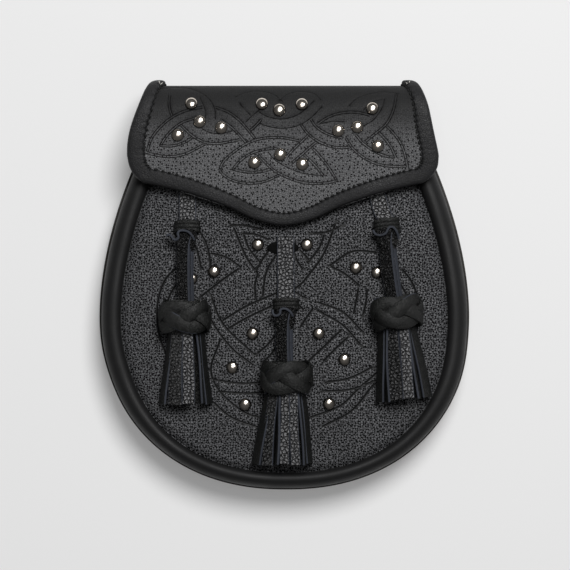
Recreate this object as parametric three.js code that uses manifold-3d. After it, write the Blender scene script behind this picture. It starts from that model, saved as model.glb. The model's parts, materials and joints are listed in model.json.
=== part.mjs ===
import * as THREE from 'three';
import { mergeVertices } from 'three/addons/utils/BufferGeometryUtils.js';
import Module from 'manifold-3d';

// A leather sporran pouch lying on its back, in millimetres.
// X runs to the wearer's left as seen from the front, Y towards the fold of the flap, Z out of the front.
// Shapes are worked out from the lowest point of the body, at y = 0, with the ground at z = 0.

// Body outline and the levels of its front and back
const bodyWidth = 179.4;
const bodyTopWidth = 123;
const bodyHeight = 181.2;
const widestHeight = 84.2;
const lowerFullness = 2.2;
const upperTaper = 1.8;
const rollTop = 28;
const backOverhang = 1.5;
const rollWidthSide = 9.4;
const rollWidthBottom = 7.5;
const rollBlendHeight = 60;

// Leather walls and the clearances between pieces
const gap = 0.3;
const panelThickness = 2;
const backThickness = 2.2;
const gussetThickness = 1.8;
const flapThickness = 2;

// Front panel: its edge lies in the groove beside the roll, and it swells to its crown
const grooveDepth = 2.7;
const crownHeight = 4.5;
const crownFlatness = 3;
const mouthSlackness = 1.25;
const mouthDrop = 4;

// Rolled rim with its lip under the front panel, and the gusset sewn to it at the waist
const lipWidth = 4;
const waistDepth = 4;
const waistRise = 0.6;
const rearBulge = 4.5;
const flangeWidth = 8;

// Back panel: flat on the ground low down, lifted by the belt loops higher up
const loopThickness = 2;
const beltClearance = 5;
const liftStart = 40;
const liftMargin = 3;

// Flap: one sheet from its tail on the back, over the fold and down the front
const tailLength = 44;
const flapWidth = 149.3;
const flapFoldWidth = 124;
const flapShoulder = 20;
const flapCornerWidth = 12.7;
const flapCornerDrop = 13.9;
const flapLength = 53.3;
const flapTaper = 1.5;
const flapDroop = 2.4;
const droopReach = 40;
const droopSharpness = 2.5;

// Binding folded round the flap's edge
const bindingSideWidth = 7.5;
const bindingTipWidth = 5.8;
const bindingThickness = 5;
const bindingInset = 1.6;
const bindingBevel = 1;
const bindingEndAngle = 125;

// Belt loops on the back
const loopWidth = 22;
const loopHeight = 40;
const loopTab = 7;
const loopSpacing = 80;
const loopRamp = 4;

// Studs
const studDiameter = 6;
const studHeight = 2;

// Straps, thongs and tassels
const strapWidth = 8.8;
const strapThickness = 1.9;
const strapHidden = 8;
const eyeWidth = 12.6;
const eyeBar = 3;
const eyeSlit = 4.6;
const eyeCap = 2;
const eyeTaper = 3;
const eyeRise = 0.7;
const thongWidth = 8.6;
const thongThickness = 1.7;
const thongTail = 12;
const thongEntry = 1;
const knotWidth = 26.2;
const knotEndWidth = 20;
const knotLength = 15;
const knotDepth = 16;
const skirtLength = 34;
const skirtWidth = 27.5;
const skirtRoot = 2;
const skirtTopSpread = 0.8;
const skirtFlare = 0.8;
const skirtSink = 0.2;
const stripWidth = 7;
const stripThickness = 1.8;

// Lower edge of the flap from its corner to its point, as shares of that width and drop
const flapEdgeRows = [
  { across: 1.0, drop: 0.0 },
  { across: 0.77, drop: 0.175 },
  { across: 0.55, drop: 0.4 },
  { across: 0.4, drop: 0.59 },
  { across: 0.25, drop: 0.82 },
  { across: 0.1, drop: 0.965 },
  { across: 0.0, drop: 1.0 },
];

// Studs on the flap: shares of its half width, and of its length below the fold
const flapStudRows = [
  { across: -0.596, down: -0.088 },
  { across: -0.542, down: 0.066 },
  { across: -0.404, down: 0.12 },
  { across: -0.683, down: 0.186 },
  { across: -0.144, down: -0.085 },
  { across: -0.032, down: -0.034 },
  { across: 0.112, down: -0.082 },
  { across: -0.192, down: 0.433 },
  { across: -0.026, down: 0.362 },
  { across: 0.115, down: 0.448 },
  { across: 0.564, down: -0.047 },
  { across: 0.346, down: 0.146 },
  { across: 0.468, down: 0.114 },
  { across: 0.599, down: 0.285 },
];

// Studs on the front panel: shares of the body's half width and of its height
const bodyStudRows = [
  { across: -0.142, up: 0.656 },
  { across: 0.12, up: 0.656 },
  { across: -0.377, up: 0.585 },
  { across: -0.497, up: 0.566 },
  { across: 0.383, up: 0.595 },
  { across: 0.497, up: 0.582 },
  { across: -0.169, up: 0.421 },
  { across: 0.184, up: 0.421 },
  { across: -0.278, up: 0.331 },
  { across: 0.321, up: 0.352 },
  { across: -0.209, up: 0.233 },
  { across: 0.238, up: 0.235 },
];

// Hangers: shares of the body's half width and height at the strap's eye and the knot, with the lean in degrees
const hangerRows = [
  { side: 'left', across: -0.523, eye: 0.685, knot: 0.466, lean: 0 },
  { side: 'centre', across: 0.005, eye: 0.479, knot: 0.305, lean: 0.5 },
  { side: 'right', across: 0.547, eye: 0.69, knot: 0.475, lean: 6.9 },
];

// Round edge of the binding's section: shares of half its thickness, in from the edge and off its middle
const bindingEdgeRows = [
  { inward: 1.0, height: 1.0 },
  { inward: 0.3, height: 0.7 },
  { inward: 0.0, height: 0.2 },
];

// Dome of a stud from its foot to its top: shares of its half width and its height
const studRows = [
  { across: 1.0, up: 0.0 },
  { across: 0.96, up: 0.3 },
  { across: 0.66, up: 0.76 },
  { across: 0.0, up: 1.0 },
];

// Side of a knot's barrel between its ends: shares of its half width and half length
const knotRows = [
  { across: 0.95, along: -0.45 },
  { across: 1.0, along: 0.1 },
  { across: 0.95, along: 0.5 },
];

// Strips of a tassel's skirt: shares of its half width and of the knot's depth, with the turn of each strip
const stripRows = [
  { across: -0.22, rise: 0.74, turn: 8 },
  { across: 0.3, rise: 0.8, turn: -10 },
  { across: -0.84, rise: 0.42, turn: 72 },
  { across: 0.84, rise: 0.44, turn: -72 },
  { across: -0.42, rise: 0.2, turn: 0 },
  { across: 0.4, rise: 0.2, turn: 0 },
];

// How finely round shapes are divided
const rimSteps = 48;
const rollDegrees = [50, 90, 135, 180, 225];
const panelTopSteps = 8;
const frontRings = [1, 0.9, 0.76, 0.56, 0.28];
const backRings = [1, 0.9, 0.72, 0.5, 0.25];
const foldSteps = 10;
const flapColumns = 22;
const cornerSteps = 4;
const cornerRows = 3;
const studSides = 10;
const strapStep = 9;
const hookSteps = 4;
const legSteps = 4;
const skirtSteps = 4;
const knotSides = 12;

// Sizes that follow from the driving dimensions
const panelEdgeLevel = rollTop - grooveDepth;
const tailLevel = loopThickness + beltClearance + gap + flapThickness / 2;
const flapLevel = panelEdgeLevel + crownHeight + strapThickness + bindingThickness / 2 + 2 * gap;
const foldRadius = (flapLevel - tailLevel) / 2;
const foldLevel = tailLevel + foldRadius;
const backLift = tailLevel + flapThickness / 2 + gap;
const liftEnd = bodyHeight - tailLength - liftMargin;
const overallHeight = bodyHeight + foldRadius + bindingThickness / 2;

const { lerp, smoothstep, degToRad, clamp } = THREE.MathUtils;
const wasm = await Module();
wasm.setup();

// Half width of the body at a height above its lowest point
function bodyHalfWidth(y) {
  if (y < widestHeight) {
    const down = clamp((widestHeight - y) / widestHeight, 0, 1);
    return (bodyWidth / 2) * (1 - down ** lowerFullness) ** (1 / lowerFullness);
  }
  const up = (y - widestHeight) / (bodyHeight - widestHeight);
  return lerp(bodyWidth / 2, bodyTopWidth / 2, up ** upperTaper);
}

// The body's rim from its top left corner, round the bottom, to its top right corner
class BodyRim extends THREE.Curve {
  getPoint(t) {
    const side = Math.sign(t - 0.5);
    const up = Math.abs(2 * t - 1);
    if (up > 0.5) {
      const y = lerp(widestHeight, bodyHeight, 2 * up - 1);
      return new THREE.Vector3(side * bodyHalfWidth(y), y, 0);
    }
    const angle = up * Math.PI;
    const x = (bodyWidth / 2) * Math.sin(angle) ** (2 / lowerFullness);
    const y = widestHeight * (1 - Math.cos(angle) ** (2 / lowerFullness));
    return new THREE.Vector3(side * x, y, 0);
  }
}

// Points spaced evenly along a flat curve, each with its normal to the left of the way it runs
function spacedFrames(curve, steps) {
  curve.arcLengthDivisions = 600;
  const frames = [];
  for (let i = 0; i <= steps; i += 1) {
    const point = curve.getPointAt(i / steps);
    const tangent = curve.getTangentAt(i / steps);
    frames.push({ point, normal: new THREE.Vector3(-tangent.y, tangent.x, 0).normalize() });
  }
  return frames;
}

const rimFrames = spacedFrames(new BodyRim(), rimSteps);

function rollWidthAt(y) {
  return lerp(rollWidthBottom, rollWidthSide, smoothstep(y, 0, rollBlendHeight));
}

function backLevel(y) {
  return backLift * smoothstep(y, liftStart, liftEnd);
}

// Distance in from the rim to the inner side of the roll
function rollInset(y) {
  return backOverhang + rollWidthAt(y);
}

// Height of the front panel's face, a soft pillow inside the roll
function frontLevel(x, y) {
  const low = rollInset(0);
  const crownY = lerp(low, bodyHeight, 0.5);
  const reach = y < crownY ? crownY - low : mouthSlackness * (bodyHeight - crownY);
  const halfWidth = Math.max(bodyHalfWidth(y) - rollInset(y), rollInset(y));
  const across = Math.min(Math.abs(x) / halfWidth, 1);
  const along = Math.min(Math.abs(y - crownY) / reach, 1);
  return panelEdgeLevel + crownHeight * (1 - across ** crownFlatness) * (1 - along ** crownFlatness);
}

// Closed geometry from positions and triangles, turned so that its faces point out
function closedGeometry(points, triangles) {
  let volume = 0;
  for (const [a, b, c] of triangles) {
    volume += points[a].dot(new THREE.Vector3().crossVectors(points[b], points[c]));
  }
  const index = triangles.flatMap(([a, b, c]) => (volume > 0 ? [a, b, c] : [a, c, b]));
  const geometry = new THREE.BufferGeometry();
  geometry.setAttribute('position', new THREE.Float32BufferAttribute(points.flatMap((p) => p.toArray()), 3));
  geometry.setIndex(index);
  return geometry;
}

// A solid swept through rings of points, closed by a cap of the section's shape at each end
function sweptSolid(rings, section) {
  const count = section.length;
  const triangles = [];
  for (let ring = 0; ring < rings.length - 1; ring += 1) {
    for (let i = 0; i < count; i += 1) {
      const a = ring * count + i;
      const b = ring * count + ((i + 1) % count);
      triangles.push([a, b, b + count], [a, b + count, a + count]);
    }
  }
  const last = (rings.length - 1) * count;
  for (const cap of THREE.ShapeUtils.triangulateShape(section, [])) {
    const [a, b, c] = THREE.ShapeUtils.isClockWise(section) ? cap.reverse() : cap;
    triangles.push([a, c, b], [last + a, last + b, last + c]);
  }
  return closedGeometry(rings.flat(), triangles);
}

// A sheet with a face and a back, joined round its edge
function sheetSolid(flatPoints, flatTriangles, edge, facePoint, backPoint) {
  const count = flatPoints.length;
  const points = [...flatPoints.map(facePoint), ...flatPoints.map(backPoint)];
  const triangles = [];
  for (const [a, b, c] of flatTriangles) {
    triangles.push([a, b, c], [a + count, c + count, b + count]);
  }
  edge.forEach((a, i) => {
    const b = edge[(i + 1) % edge.length];
    triangles.push([a, a + count, b + count], [a, b + count, b]);
  });
  return closedGeometry(points, triangles);
}

// A panel filled with rings that shrink from its outline to its middle
function panelSolid(outline, ringShares, facePoint, backPoint) {
  const middle = new THREE.Vector3(0, widestHeight, 0);
  const count = outline.length;
  const flatPoints = [];
  for (const share of ringShares) {
    outline.forEach((point) => flatPoints.push(new THREE.Vector3().lerpVectors(middle, point, share)));
  }
  flatPoints.push(middle);
  const triangles = [];
  ringShares.forEach((share, ring) => {
    for (let i = 0; i < count; i += 1) {
      const a = ring * count + i;
      const b = ring * count + ((i + 1) % count);
      if (ring === ringShares.length - 1) {
        triangles.push([a, b, flatPoints.length - 1]);
      } else {
        triangles.push([a, b, b + count], [a, b + count, a + count]);
      }
    }
  });
  const edge = outline.map((point, i) => i);
  return sheetSolid(flatPoints, triangles, edge, facePoint, backPoint);
}

// Outline of a panel: the rim moved inwards, closed by a straight top edge
function panelOutline(insetAt, topHeight) {
  const outline = rimFrames.map(({ point, normal }) => point.clone().addScaledVector(normal, insetAt(point.y)));
  const inside = outline.filter((point) => point.y < topHeight);
  const halfWidth = bodyHalfWidth(topHeight) - insetAt(topHeight);
  for (let i = 0; i <= panelTopSteps; i += 1) {
    inside.push(new THREE.Vector3(lerp(halfWidth, -halfWidth, i / panelTopSteps), topHeight, 0));
  }
  return inside;
}

function frontPanel() {
  const outline = panelOutline((y) => rollInset(y) + gap, bodyHeight - mouthDrop);
  const face = (p) => new THREE.Vector3(p.x, p.y, frontLevel(p.x, p.y));
  const back = (p) => new THREE.Vector3(p.x, p.y, frontLevel(p.x, p.y) - panelThickness);
  return panelSolid(outline, frontRings, face, back);
}

function backPanel() {
  const outline = panelOutline(() => 0, bodyHeight);
  const face = (p) => new THREE.Vector3(p.x, p.y, backLevel(p.y) + backThickness);
  const back = (p) => new THREE.Vector3(p.x, p.y, backLevel(p.y));
  return panelSolid(outline, backRings, face, back);
}

// Middle line of the side wall at one place, from the lip to the flange: distance in from the rim, and height
function wallLine(y) {
  const width = rollWidthAt(y);
  const half = gussetThickness / 2;
  const radius = width / 2 - half;
  const centreLevel = rollTop - width / 2;
  const rear = backLevel(y) + backThickness + gap + half;
  const lip = panelEdgeLevel - panelThickness - gap - half;
  const arc = rollDegrees.map((degrees) => {
    const angle = degToRad(degrees);
    return [width / 2 + radius * Math.cos(angle), centreLevel + radius * Math.sin(angle)];
  });
  const under = arc[arc.length - 1][1];
  const waistShare = (under - rear) / (rollTop - backThickness);
  return [
    [width + lipWidth, lip],
    [width - half, lip],
    ...arc,
    [waistDepth * waistShare + 2 * half, lerp(rear, under, waistRise)],
    [half, rear + rearBulge * waistShare + half],
    [2 * half, rear],
    [flangeWidth, rear],
  ].map(([inward, level]) => new THREE.Vector2(backOverhang + inward, level));
}

// The two sides of a wall of even thickness at each point of its open middle line
function wallSides(line, thickness) {
  return line.map((point, i) => {
    const before = line[Math.max(i - 1, 0)];
    const after = line[Math.min(i + 1, line.length - 1)];
    const along = new THREE.Vector2().subVectors(after, before).normalize();
    const offset = new THREE.Vector2(-along.y, along.x).multiplyScalar(thickness / 2);
    return { along, left: point.clone().add(offset), right: point.clone().sub(offset) };
  });
}

// The side wall is cut at its waist, with the clearance between the rolled rim and the gusset
function wallSections(y) {
  const sides = wallSides(wallLine(y), gussetThickness);
  const waist = rollDegrees.length + 2;
  const cutEnd = (distance) => {
    const shift = sides[waist].along.clone().multiplyScalar(distance);
    return { left: sides[waist].left.clone().add(shift), right: sides[waist].right.clone().add(shift) };
  };
  const outline = (part) => [...part.map(({ left }) => left), ...part.map(({ right }) => right).reverse()];
  return {
    rimRoll: outline([...sides.slice(0, waist), cutEnd(-gap / 2)]),
    gusset: outline([cutEnd(gap / 2), ...sides.slice(waist + 1)]),
  };
}

// One strip of the side wall, swept round the rim
function sideWall(part) {
  const sections = rimFrames.map(({ point }) => wallSections(point.y)[part]);
  const rings = rimFrames.map(({ point, normal }, i) => sections[i].map(({ x: inward, y: level }) => {
    const place = point.clone().addScaledVector(normal, inward);
    return place.setZ(level);
  }));
  return sweptSolid(rings, sections[0]);
}

// The flap as it is cut: x across it, y its distance below the fold, negative over the fold and behind
function flapHalfWidth(down) {
  const quarterFold = (foldRadius * Math.PI) / 2;
  const share = clamp((flapShoulder - down) / (flapShoulder + quarterFold), 0, 1);
  return lerp(flapWidth / 2, flapFoldWidth / 2, share ** flapTaper);
}

// Where a point of the cut flap lies once it is folded, moved off its middle by a height
function foldedPoint(x, down, height) {
  const halfFold = Math.PI * foldRadius;
  if (down < -halfFold) {
    return new THREE.Vector3(x, bodyHeight + down + halfFold, tailLevel - height);
  }
  if (down < 0) {
    const angle = -down / foldRadius;
    const radius = foldRadius + height;
    return new THREE.Vector3(x, bodyHeight + radius * Math.sin(angle), foldLevel + radius * Math.cos(angle));
  }
  const sideShare = Math.abs((2 * x) / flapWidth);
  const droop = flapDroop * sideShare ** droopSharpness * smoothstep(down, 0, droopReach);
  return new THREE.Vector3(x, bodyHeight - down, flapLevel + height - droop);
}

// Distances below the fold of the flap's side rows, from a start down to just above its shoulder
function flapSideRows(from) {
  const tailStart = -Math.PI * foldRadius;
  const rows = from < tailStart ? [from, (from + tailStart) / 2] : [from];
  for (let i = 0; i <= foldSteps; i += 1) {
    const down = tailStart * (1 - i / foldSteps);
    if (down > from) {
      rows.push(down);
    }
  }
  rows.push(flapShoulder / 2);
  return rows;
}

// Lower edge of the cut flap from its left shoulder, round its corners and point, to its right shoulder
function flapLowerEdge() {
  const cornerX = flapWidth / 2 - flapCornerWidth;
  const cornerDown = flapShoulder + flapCornerDrop;
  const half = [];
  for (let i = 0; i < cornerSteps; i += 1) {
    const angle = ((Math.PI / 2) * i) / cornerSteps;
    const x = cornerX + flapCornerWidth * Math.cos(angle);
    half.push(new THREE.Vector3(x, flapShoulder + flapCornerDrop * Math.sin(angle), 0));
  }
  for (const { across, drop } of flapEdgeRows) {
    half.push(new THREE.Vector3(across * cornerX, lerp(cornerDown, flapLength, drop), 0));
  }
  const left = half.map((point) => new THREE.Vector3(-point.x, point.y, 0));
  return new THREE.CatmullRomCurve3([...left, ...half.reverse().slice(1)], false, 'centripetal');
}

const lowerEdgeFrames = spacedFrames(flapLowerEdge(), flapColumns + 2 * cornerRows);

// Height of the flap's lower edge above the body's lowest point, at a place across it
function flapEdgeHeight(x) {
  const next = lowerEdgeFrames.findIndex(({ point }) => point.x > x);
  const a = lowerEdgeFrames[next - 1].point;
  const b = lowerEdgeFrames[next].point;
  return bodyHeight - lerp(a.y, b.y, (x - a.x) / (b.x - a.x));
}

// Rows that fill the flap below its shoulder: the edge's first points are their ends, and the rest their foot
function flapFootRows(edge) {
  const last = edge.length - 1;
  const blend = (a, b, share) => new THREE.Vector3().lerpVectors(a, b, share);
  const rows = [];
  for (let row = 1; row <= cornerRows; row += 1) {
    const share = row / cornerRows;
    const leftShift = edge[row].clone().sub(blend(edge[0], edge[cornerRows], share));
    const rightShift = edge[last - row].clone().sub(blend(edge[last], edge[last - cornerRows], share));
    for (let i = 0; i <= flapColumns; i += 1) {
      const across = i / flapColumns;
      const place = blend(blend(edge[0], edge[last], across), edge[cornerRows + i], share);
      rows.push(place.addScaledVector(leftShift, 1 - across).addScaledVector(rightShift, across));
    }
  }
  return rows;
}

function flap() {
  const cutPoints = [];
  const sideRows = [...flapSideRows(-(Math.PI * foldRadius + tailLength)), flapShoulder];
  for (const down of sideRows) {
    const halfWidth = flapHalfWidth(down) - bindingInset;
    for (let i = 0; i <= flapColumns; i += 1) {
      cutPoints.push(new THREE.Vector3(lerp(-halfWidth, halfWidth, i / flapColumns), down, 0));
    }
  }
  const inset = lowerEdgeFrames.map(({ point, normal }) => point.clone().addScaledVector(normal, -bindingInset));
  cutPoints.push(...flapFootRows(inset));
  const lastRow = sideRows.length + cornerRows - 1;
  const at = (row, column) => row * (flapColumns + 1) + column;
  const triangles = [];
  for (let row = 0; row < lastRow; row += 1) {
    for (let column = 0; column < flapColumns; column += 1) {
      const corner = at(row + 1, column + 1);
      triangles.push([at(row, column), at(row, column + 1), corner]);
      triangles.push([at(row, column), corner, at(row + 1, column)]);
    }
  }
  const across = Array.from({ length: flapColumns }, (_, i) => i);
  const along = Array.from({ length: lastRow }, (_, i) => i);
  const edge = [
    ...across.map((i) => at(0, i)),
    ...along.map((i) => at(i, flapColumns)),
    ...across.map((i) => at(lastRow, flapColumns - i)),
    ...along.map((i) => at(lastRow - i, 0)),
  ];
  const face = (p) => foldedPoint(p.x, p.y, flapThickness / 2);
  const back = (p) => foldedPoint(p.x, p.y, -flapThickness / 2);
  return sheetSolid(cutPoints, triangles, edge, face, back);
}

// Section of the binding: distance in from the flap's edge, and height off the flap's middle
function bindingSection(width) {
  const outer = bindingThickness / 2;
  const slot = flapThickness / 2 + gap;
  const upper = [
    [width, slot],
    [width, outer - gap],
    [width - bindingBevel, outer],
    ...bindingEdgeRows.map(({ inward, height }) => [inward * outer, height * outer]),
  ];
  const lower = upper.map(([inward, height]) => [inward, -height]).reverse();
  const slotEnd = bindingInset - gap;
  return [...upper, ...lower, [slotEnd, -slot], [slotEnd, slot]].map(([x, y]) => new THREE.Vector2(x, y));
}

function flapBinding() {
  const sideFrames = (side) => flapSideRows(-foldRadius * degToRad(bindingEndAngle)).map((down) => ({
    point: new THREE.Vector3(side * flapHalfWidth(down), down, 0),
    inward: new THREE.Vector3(-side, 0, 0),
  }));
  const lower = lowerEdgeFrames.map(({ point, normal }) => ({ point, inward: normal.clone().negate() }));
  const rings = [...sideFrames(-1), ...lower, ...sideFrames(1).reverse()].map(({ point, inward }) => {
    const width = lerp(bindingSideWidth, bindingTipWidth, smoothstep(point.y, flapShoulder, flapLength));
    return bindingSection(width).map(({ x, y }) => {
      const place = point.clone().addScaledVector(inward, x);
      return foldedPoint(place.x, place.y, y);
    });
  });
  return sweptSolid(rings, bindingSection(bindingSideWidth));
}

// A belt loop: two tabs against the flap's tail and a bridge that stands off it, from its lower end up
function beltLoop() {
  const tabFace = backLift - gap - flapThickness - gap;
  const tabBack = tabFace - loopThickness;
  const bend = loopTab + loopRamp;
  const shift = loopThickness / 2;
  const outside = [[0, tabFace], [0, tabBack], [loopTab, tabBack], [bend, 0]];
  const inside = [[bend + shift, loopThickness], [loopTab + shift, tabFace]];
  const mirror = (points) => points.map(([y, z]) => [loopHeight - y, z]).reverse();
  const outline = [...outside, ...mirror(outside), ...mirror(inside), ...inside];
  const profile = new THREE.Shape(outline.map(([y, z]) => new THREE.Vector2(y, z)));
  const geometry = new THREE.ExtrudeGeometry(profile, { depth: loopWidth, bevelEnabled: false });
  geometry.translate(0, 0, -loopWidth / 2);
  geometry.rotateX(Math.PI / 2);
  geometry.rotateZ(Math.PI / 2);
  return mergedGeometry(geometry);
}

// A stud: a low dome with a flat back
function stud() {
  const radius = studDiameter / 2;
  const dome = studRows.map(({ across, up }) => new THREE.Vector2(across * radius, up * studHeight));
  const geometry = new THREE.LatheGeometry([new THREE.Vector2(0, 0), ...dome], studSides);
  geometry.rotateX(Math.PI / 2);
  return mergedGeometry(geometry);
}

// The same shape with its shared vertices joined
function mergedGeometry(geometry) {
  geometry.deleteAttribute('normal');
  geometry.deleteAttribute('uv');
  return mergeVertices(geometry, 1e-4);
}

function toSolid(geometry) {
  const merged = mergedGeometry(geometry);
  const vertProperties = new Float32Array(merged.attributes.position.array);
  const triVerts = new Uint32Array(merged.index.array);
  return new wasm.Manifold(new wasm.Mesh({ numProp: 3, vertProperties, triVerts }));
}

function fromSolid(solid) {
  const { vertProperties, triVerts } = solid.getMesh();
  const geometry = new THREE.BufferGeometry();
  geometry.setAttribute('position', new THREE.BufferAttribute(vertProperties, 3));
  geometry.setIndex(new THREE.BufferAttribute(triVerts, 1));
  return geometry;
}

// A strip of four sides through its steps, each with its middle and the halves of its width and thickness
function stripSolid(steps) {
  const corners = [[-1, -1], [1, -1], [1, 1], [-1, 1]];
  const rings = steps.map(({ middle, wide, thick }) => corners.map(([side, face]) => (
    middle.clone().addScaledVector(wide, side).addScaledVector(thick, face)
  )));
  return sweptSolid(rings, corners.map(([x, y]) => new THREE.Vector2(x, y)));
}

// A flat strip along a path in the plane of its length and height, with a width for each point
function pathStrip(path, thickness) {
  return stripSolid(path.map(({ y, z, width }, i) => {
    const before = path[Math.max(i - 1, 0)];
    const after = path[Math.min(i + 1, path.length - 1)];
    return {
      middle: new THREE.Vector3(0, y, z),
      wide: new THREE.Vector3(width / 2, 0, 0),
      thick: new THREE.Vector3(0, before.z - after.z, after.y - before.y).setLength(thickness / 2),
    };
  }));
}

// A piece made flat round its eye, turned by its lean, moved to its place and laid on the front panel
function layOnFront(geometry, hanger) {
  geometry.rotateZ(degToRad(hanger.lean));
  geometry.translate(hanger.x, hanger.y, 0);
  const place = geometry.attributes.position;
  for (let i = 0; i < place.count; i += 1) {
    place.setZ(i, place.getZ(i) + frontLevel(place.getX(i), place.getY(i)));
  }
  return geometry;
}

const strapLevel = gap + strapThickness / 2;
const thongBackLevel = gap + thongThickness / 2;
const eyeLevel = thongBackLevel + thongThickness / 2 + gap + strapThickness / 2;
const hookRadius = strapThickness / 2 + gap + thongThickness / 2;
const knotLevel = gap + knotDepth / 2;

// A strap from under the flap down to its eye, where the thong passes through a slit above a bar
function strap(hanger) {
  const slitTop = eyeBar / 2 + eyeSlit;
  const eyeTop = slitTop + eyeCap;
  const taperTop = eyeTop + eyeTaper;
  const top = flapEdgeHeight(hanger.x) + strapHidden - hanger.y;
  const plainSteps = Math.ceil((top - taperTop) / strapStep);
  const path = [];
  for (let i = 0; i <= plainSteps; i += 1) {
    path.push({ y: lerp(top, taperTop, i / plainSteps), z: strapLevel, width: strapWidth });
  }
  path.push({ y: eyeTop, z: lerp(strapLevel, eyeLevel, eyeRise), width: eyeWidth });
  path.push({ y: slitTop, z: eyeLevel, width: eyeWidth });
  path.push({ y: -eyeBar / 2, z: eyeLevel, width: eyeWidth });
  const slit = new THREE.BoxGeometry(thongWidth + 2 * gap, eyeSlit, 4 * eyeLevel);
  slit.translate(0, eyeBar / 2 + eyeSlit / 2, 0);
  const cut = toSolid(pathStrip(path, strapThickness)).subtract(toSolid(slit));
  return layOnFront(fromSolid(cut), hanger);
}

// A thong: a short tail behind the strap's bar, a hook over the bar, and a leg down to the knot
function thong(hanger) {
  const knotTop = hanger.knotY - hanger.y + knotLength / 2;
  const legTop = eyeLevel + hookRadius;
  const path = [{ y: -thongTail, z: thongBackLevel, width: thongWidth }];
  for (let i = 0; i <= hookSteps; i += 1) {
    const angle = (Math.PI * i) / hookSteps - Math.PI / 2;
    const y = eyeBar / 2 + hookRadius * Math.cos(angle);
    path.push({ y, z: eyeLevel + hookRadius * Math.sin(angle), width: thongWidth });
  }
  for (let i = 1; i <= legSteps; i += 1) {
    const y = lerp(-eyeBar, knotTop + gap, i / legSteps);
    path.push({ y, z: lerp(legTop, knotLevel - thongEntry, i / legSteps), width: thongWidth });
  }
  return layOnFront(pathStrip(path, thongThickness), hanger);
}

// A tassel's wrapped knot: a barrel with flat ends, flattened where it lies
function knotHead() {
  const radius = knotWidth / 2;
  const half = knotLength / 2;
  const points = [
    new THREE.Vector2(0, -half),
    new THREE.Vector2(knotEndWidth / 2, -half),
    ...knotRows.map(({ across, along }) => new THREE.Vector2(across * radius, along * half)),
    new THREE.Vector2(knotEndWidth / 2, half),
    new THREE.Vector2(0, half),
  ];
  const geometry = new THREE.LatheGeometry(points, knotSides);
  geometry.scale(1, 1, knotDepth / knotWidth);
  return geometry;
}

// One strip of a skirt, from inside the knot to the tip, spreading and sinking a little on its way
function skirtStrip({ across, rise, turn }) {
  const foot = -knotLength / 2;
  const upright = new THREE.Vector3(0, 1, 0);
  const wide = new THREE.Vector3(stripWidth / 2, 0, 0).applyAxisAngle(upright, degToRad(turn));
  const thick = upright.clone().cross(wide).setLength(stripThickness / 2);
  const steps = [];
  for (let i = 0; i <= skirtSteps; i += 1) {
    const share = i / skirtSteps;
    const spread = lerp(skirtTopSpread * knotEndWidth, skirtWidth, share ** skirtFlare);
    const level = (rise * (1 - skirtSink * share) - 0.5) * knotDepth;
    const along = lerp(foot + skirtRoot, foot - skirtLength, share);
    steps.push({ middle: new THREE.Vector3((across * spread) / 2, along, level), wide, thick });
  }
  return stripSolid(steps);
}

function tassel(hanger) {
  const strips = stripRows.map((row) => toSolid(skirtStrip(row)));
  const fused = strips.reduce((solid, strip) => solid.add(strip), toSolid(knotHead()));
  const geometry = fromSolid(fused);
  geometry.translate(0, hanger.knotY - hanger.y, knotLevel);
  return layOnFront(geometry, hanger);
}

// Finishes
const leather = { color: 0x1c1c1e, roughness: 0.5, metalness: 0 };
const pebbledLeather = { color: 0x262629, roughness: 0.62, metalness: 0 };
const rawLeather = { color: 0x2a1d18, roughness: 0.7, metalness: 0 };
const nickel = { color: 0xd8d8da, roughness: 0.18, metalness: 1 };

const pouch = new THREE.Group();

function addPiece(name, geometry, finish) {
  const mesh = new THREE.Mesh(geometry, new THREE.MeshStandardMaterial(finish));
  mesh.name = name;
  pouch.add(mesh);
  return mesh;
}

addPiece('back_panel', backPanel(), rawLeather);
addPiece('rim_roll', sideWall('rimRoll'), leather);
addPiece('gusset', sideWall('gusset'), leather);
addPiece('front_panel', frontPanel(), pebbledLeather);
addPiece('flap', flap(), pebbledLeather);
addPiece('flap_binding', flapBinding(), leather);

for (const [name, side] of [['belt_loop_left', -1], ['belt_loop_right', 1]]) {
  const loop = addPiece(name, beltLoop(), rawLeather);
  loop.position.set((side * loopSpacing) / 2, bodyHeight - tailLength + (tailLength - loopHeight) / 2, 0);
}

for (const row of hangerRows) {
  const x = (row.across * bodyWidth) / 2;
  const hanger = { ...row, x, y: row.eye * bodyHeight, knotY: row.knot * bodyHeight };
  addPiece(`strap_${row.side}`, strap(hanger), pebbledLeather);
  addPiece(`thong_${row.side}`, thong(hanger), pebbledLeather);
  addPiece(`tassel_${row.side}`, tassel(hanger), leather);
}

// Studs sit on the surface with their axes along its normal
function addStud(name, surface) {
  const mesh = addPiece(name, stud(), nickel);
  const foot = surface(gap);
  const normal = surface(gap + 1).sub(foot).normalize();
  mesh.position.copy(foot);
  mesh.quaternion.setFromUnitVectors(new THREE.Vector3(0, 0, 1), normal);
}

flapStudRows.forEach(({ across, down }, i) => {
  const x = (across * flapWidth) / 2;
  const name = `flap_stud_${String(i + 1).padStart(2, '0')}`;
  addStud(name, (height) => foldedPoint(x, down * flapLength, flapThickness / 2 + height));
});

bodyStudRows.forEach(({ across, up }, i) => {
  const x = (across * bodyWidth) / 2;
  const y = up * bodyHeight;
  const slopeX = (frontLevel(x + 0.5, y) - frontLevel(x - 0.5, y));
  const slopeY = (frontLevel(x, y + 0.5) - frontLevel(x, y - 0.5));
  const normal = new THREE.Vector3(-slopeX, -slopeY, 1).normalize();
  const foot = new THREE.Vector3(x, y, frontLevel(x, y));
  const name = `body_stud_${String(i + 1).padStart(2, '0')}`;
  addStud(name, (height) => foot.clone().addScaledVector(normal, height));
});

// The origin is at the middle of the part's outline, on the ground
pouch.position.y = -overallHeight / 2;

export default pouch;
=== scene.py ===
import json
import math
import random

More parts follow.
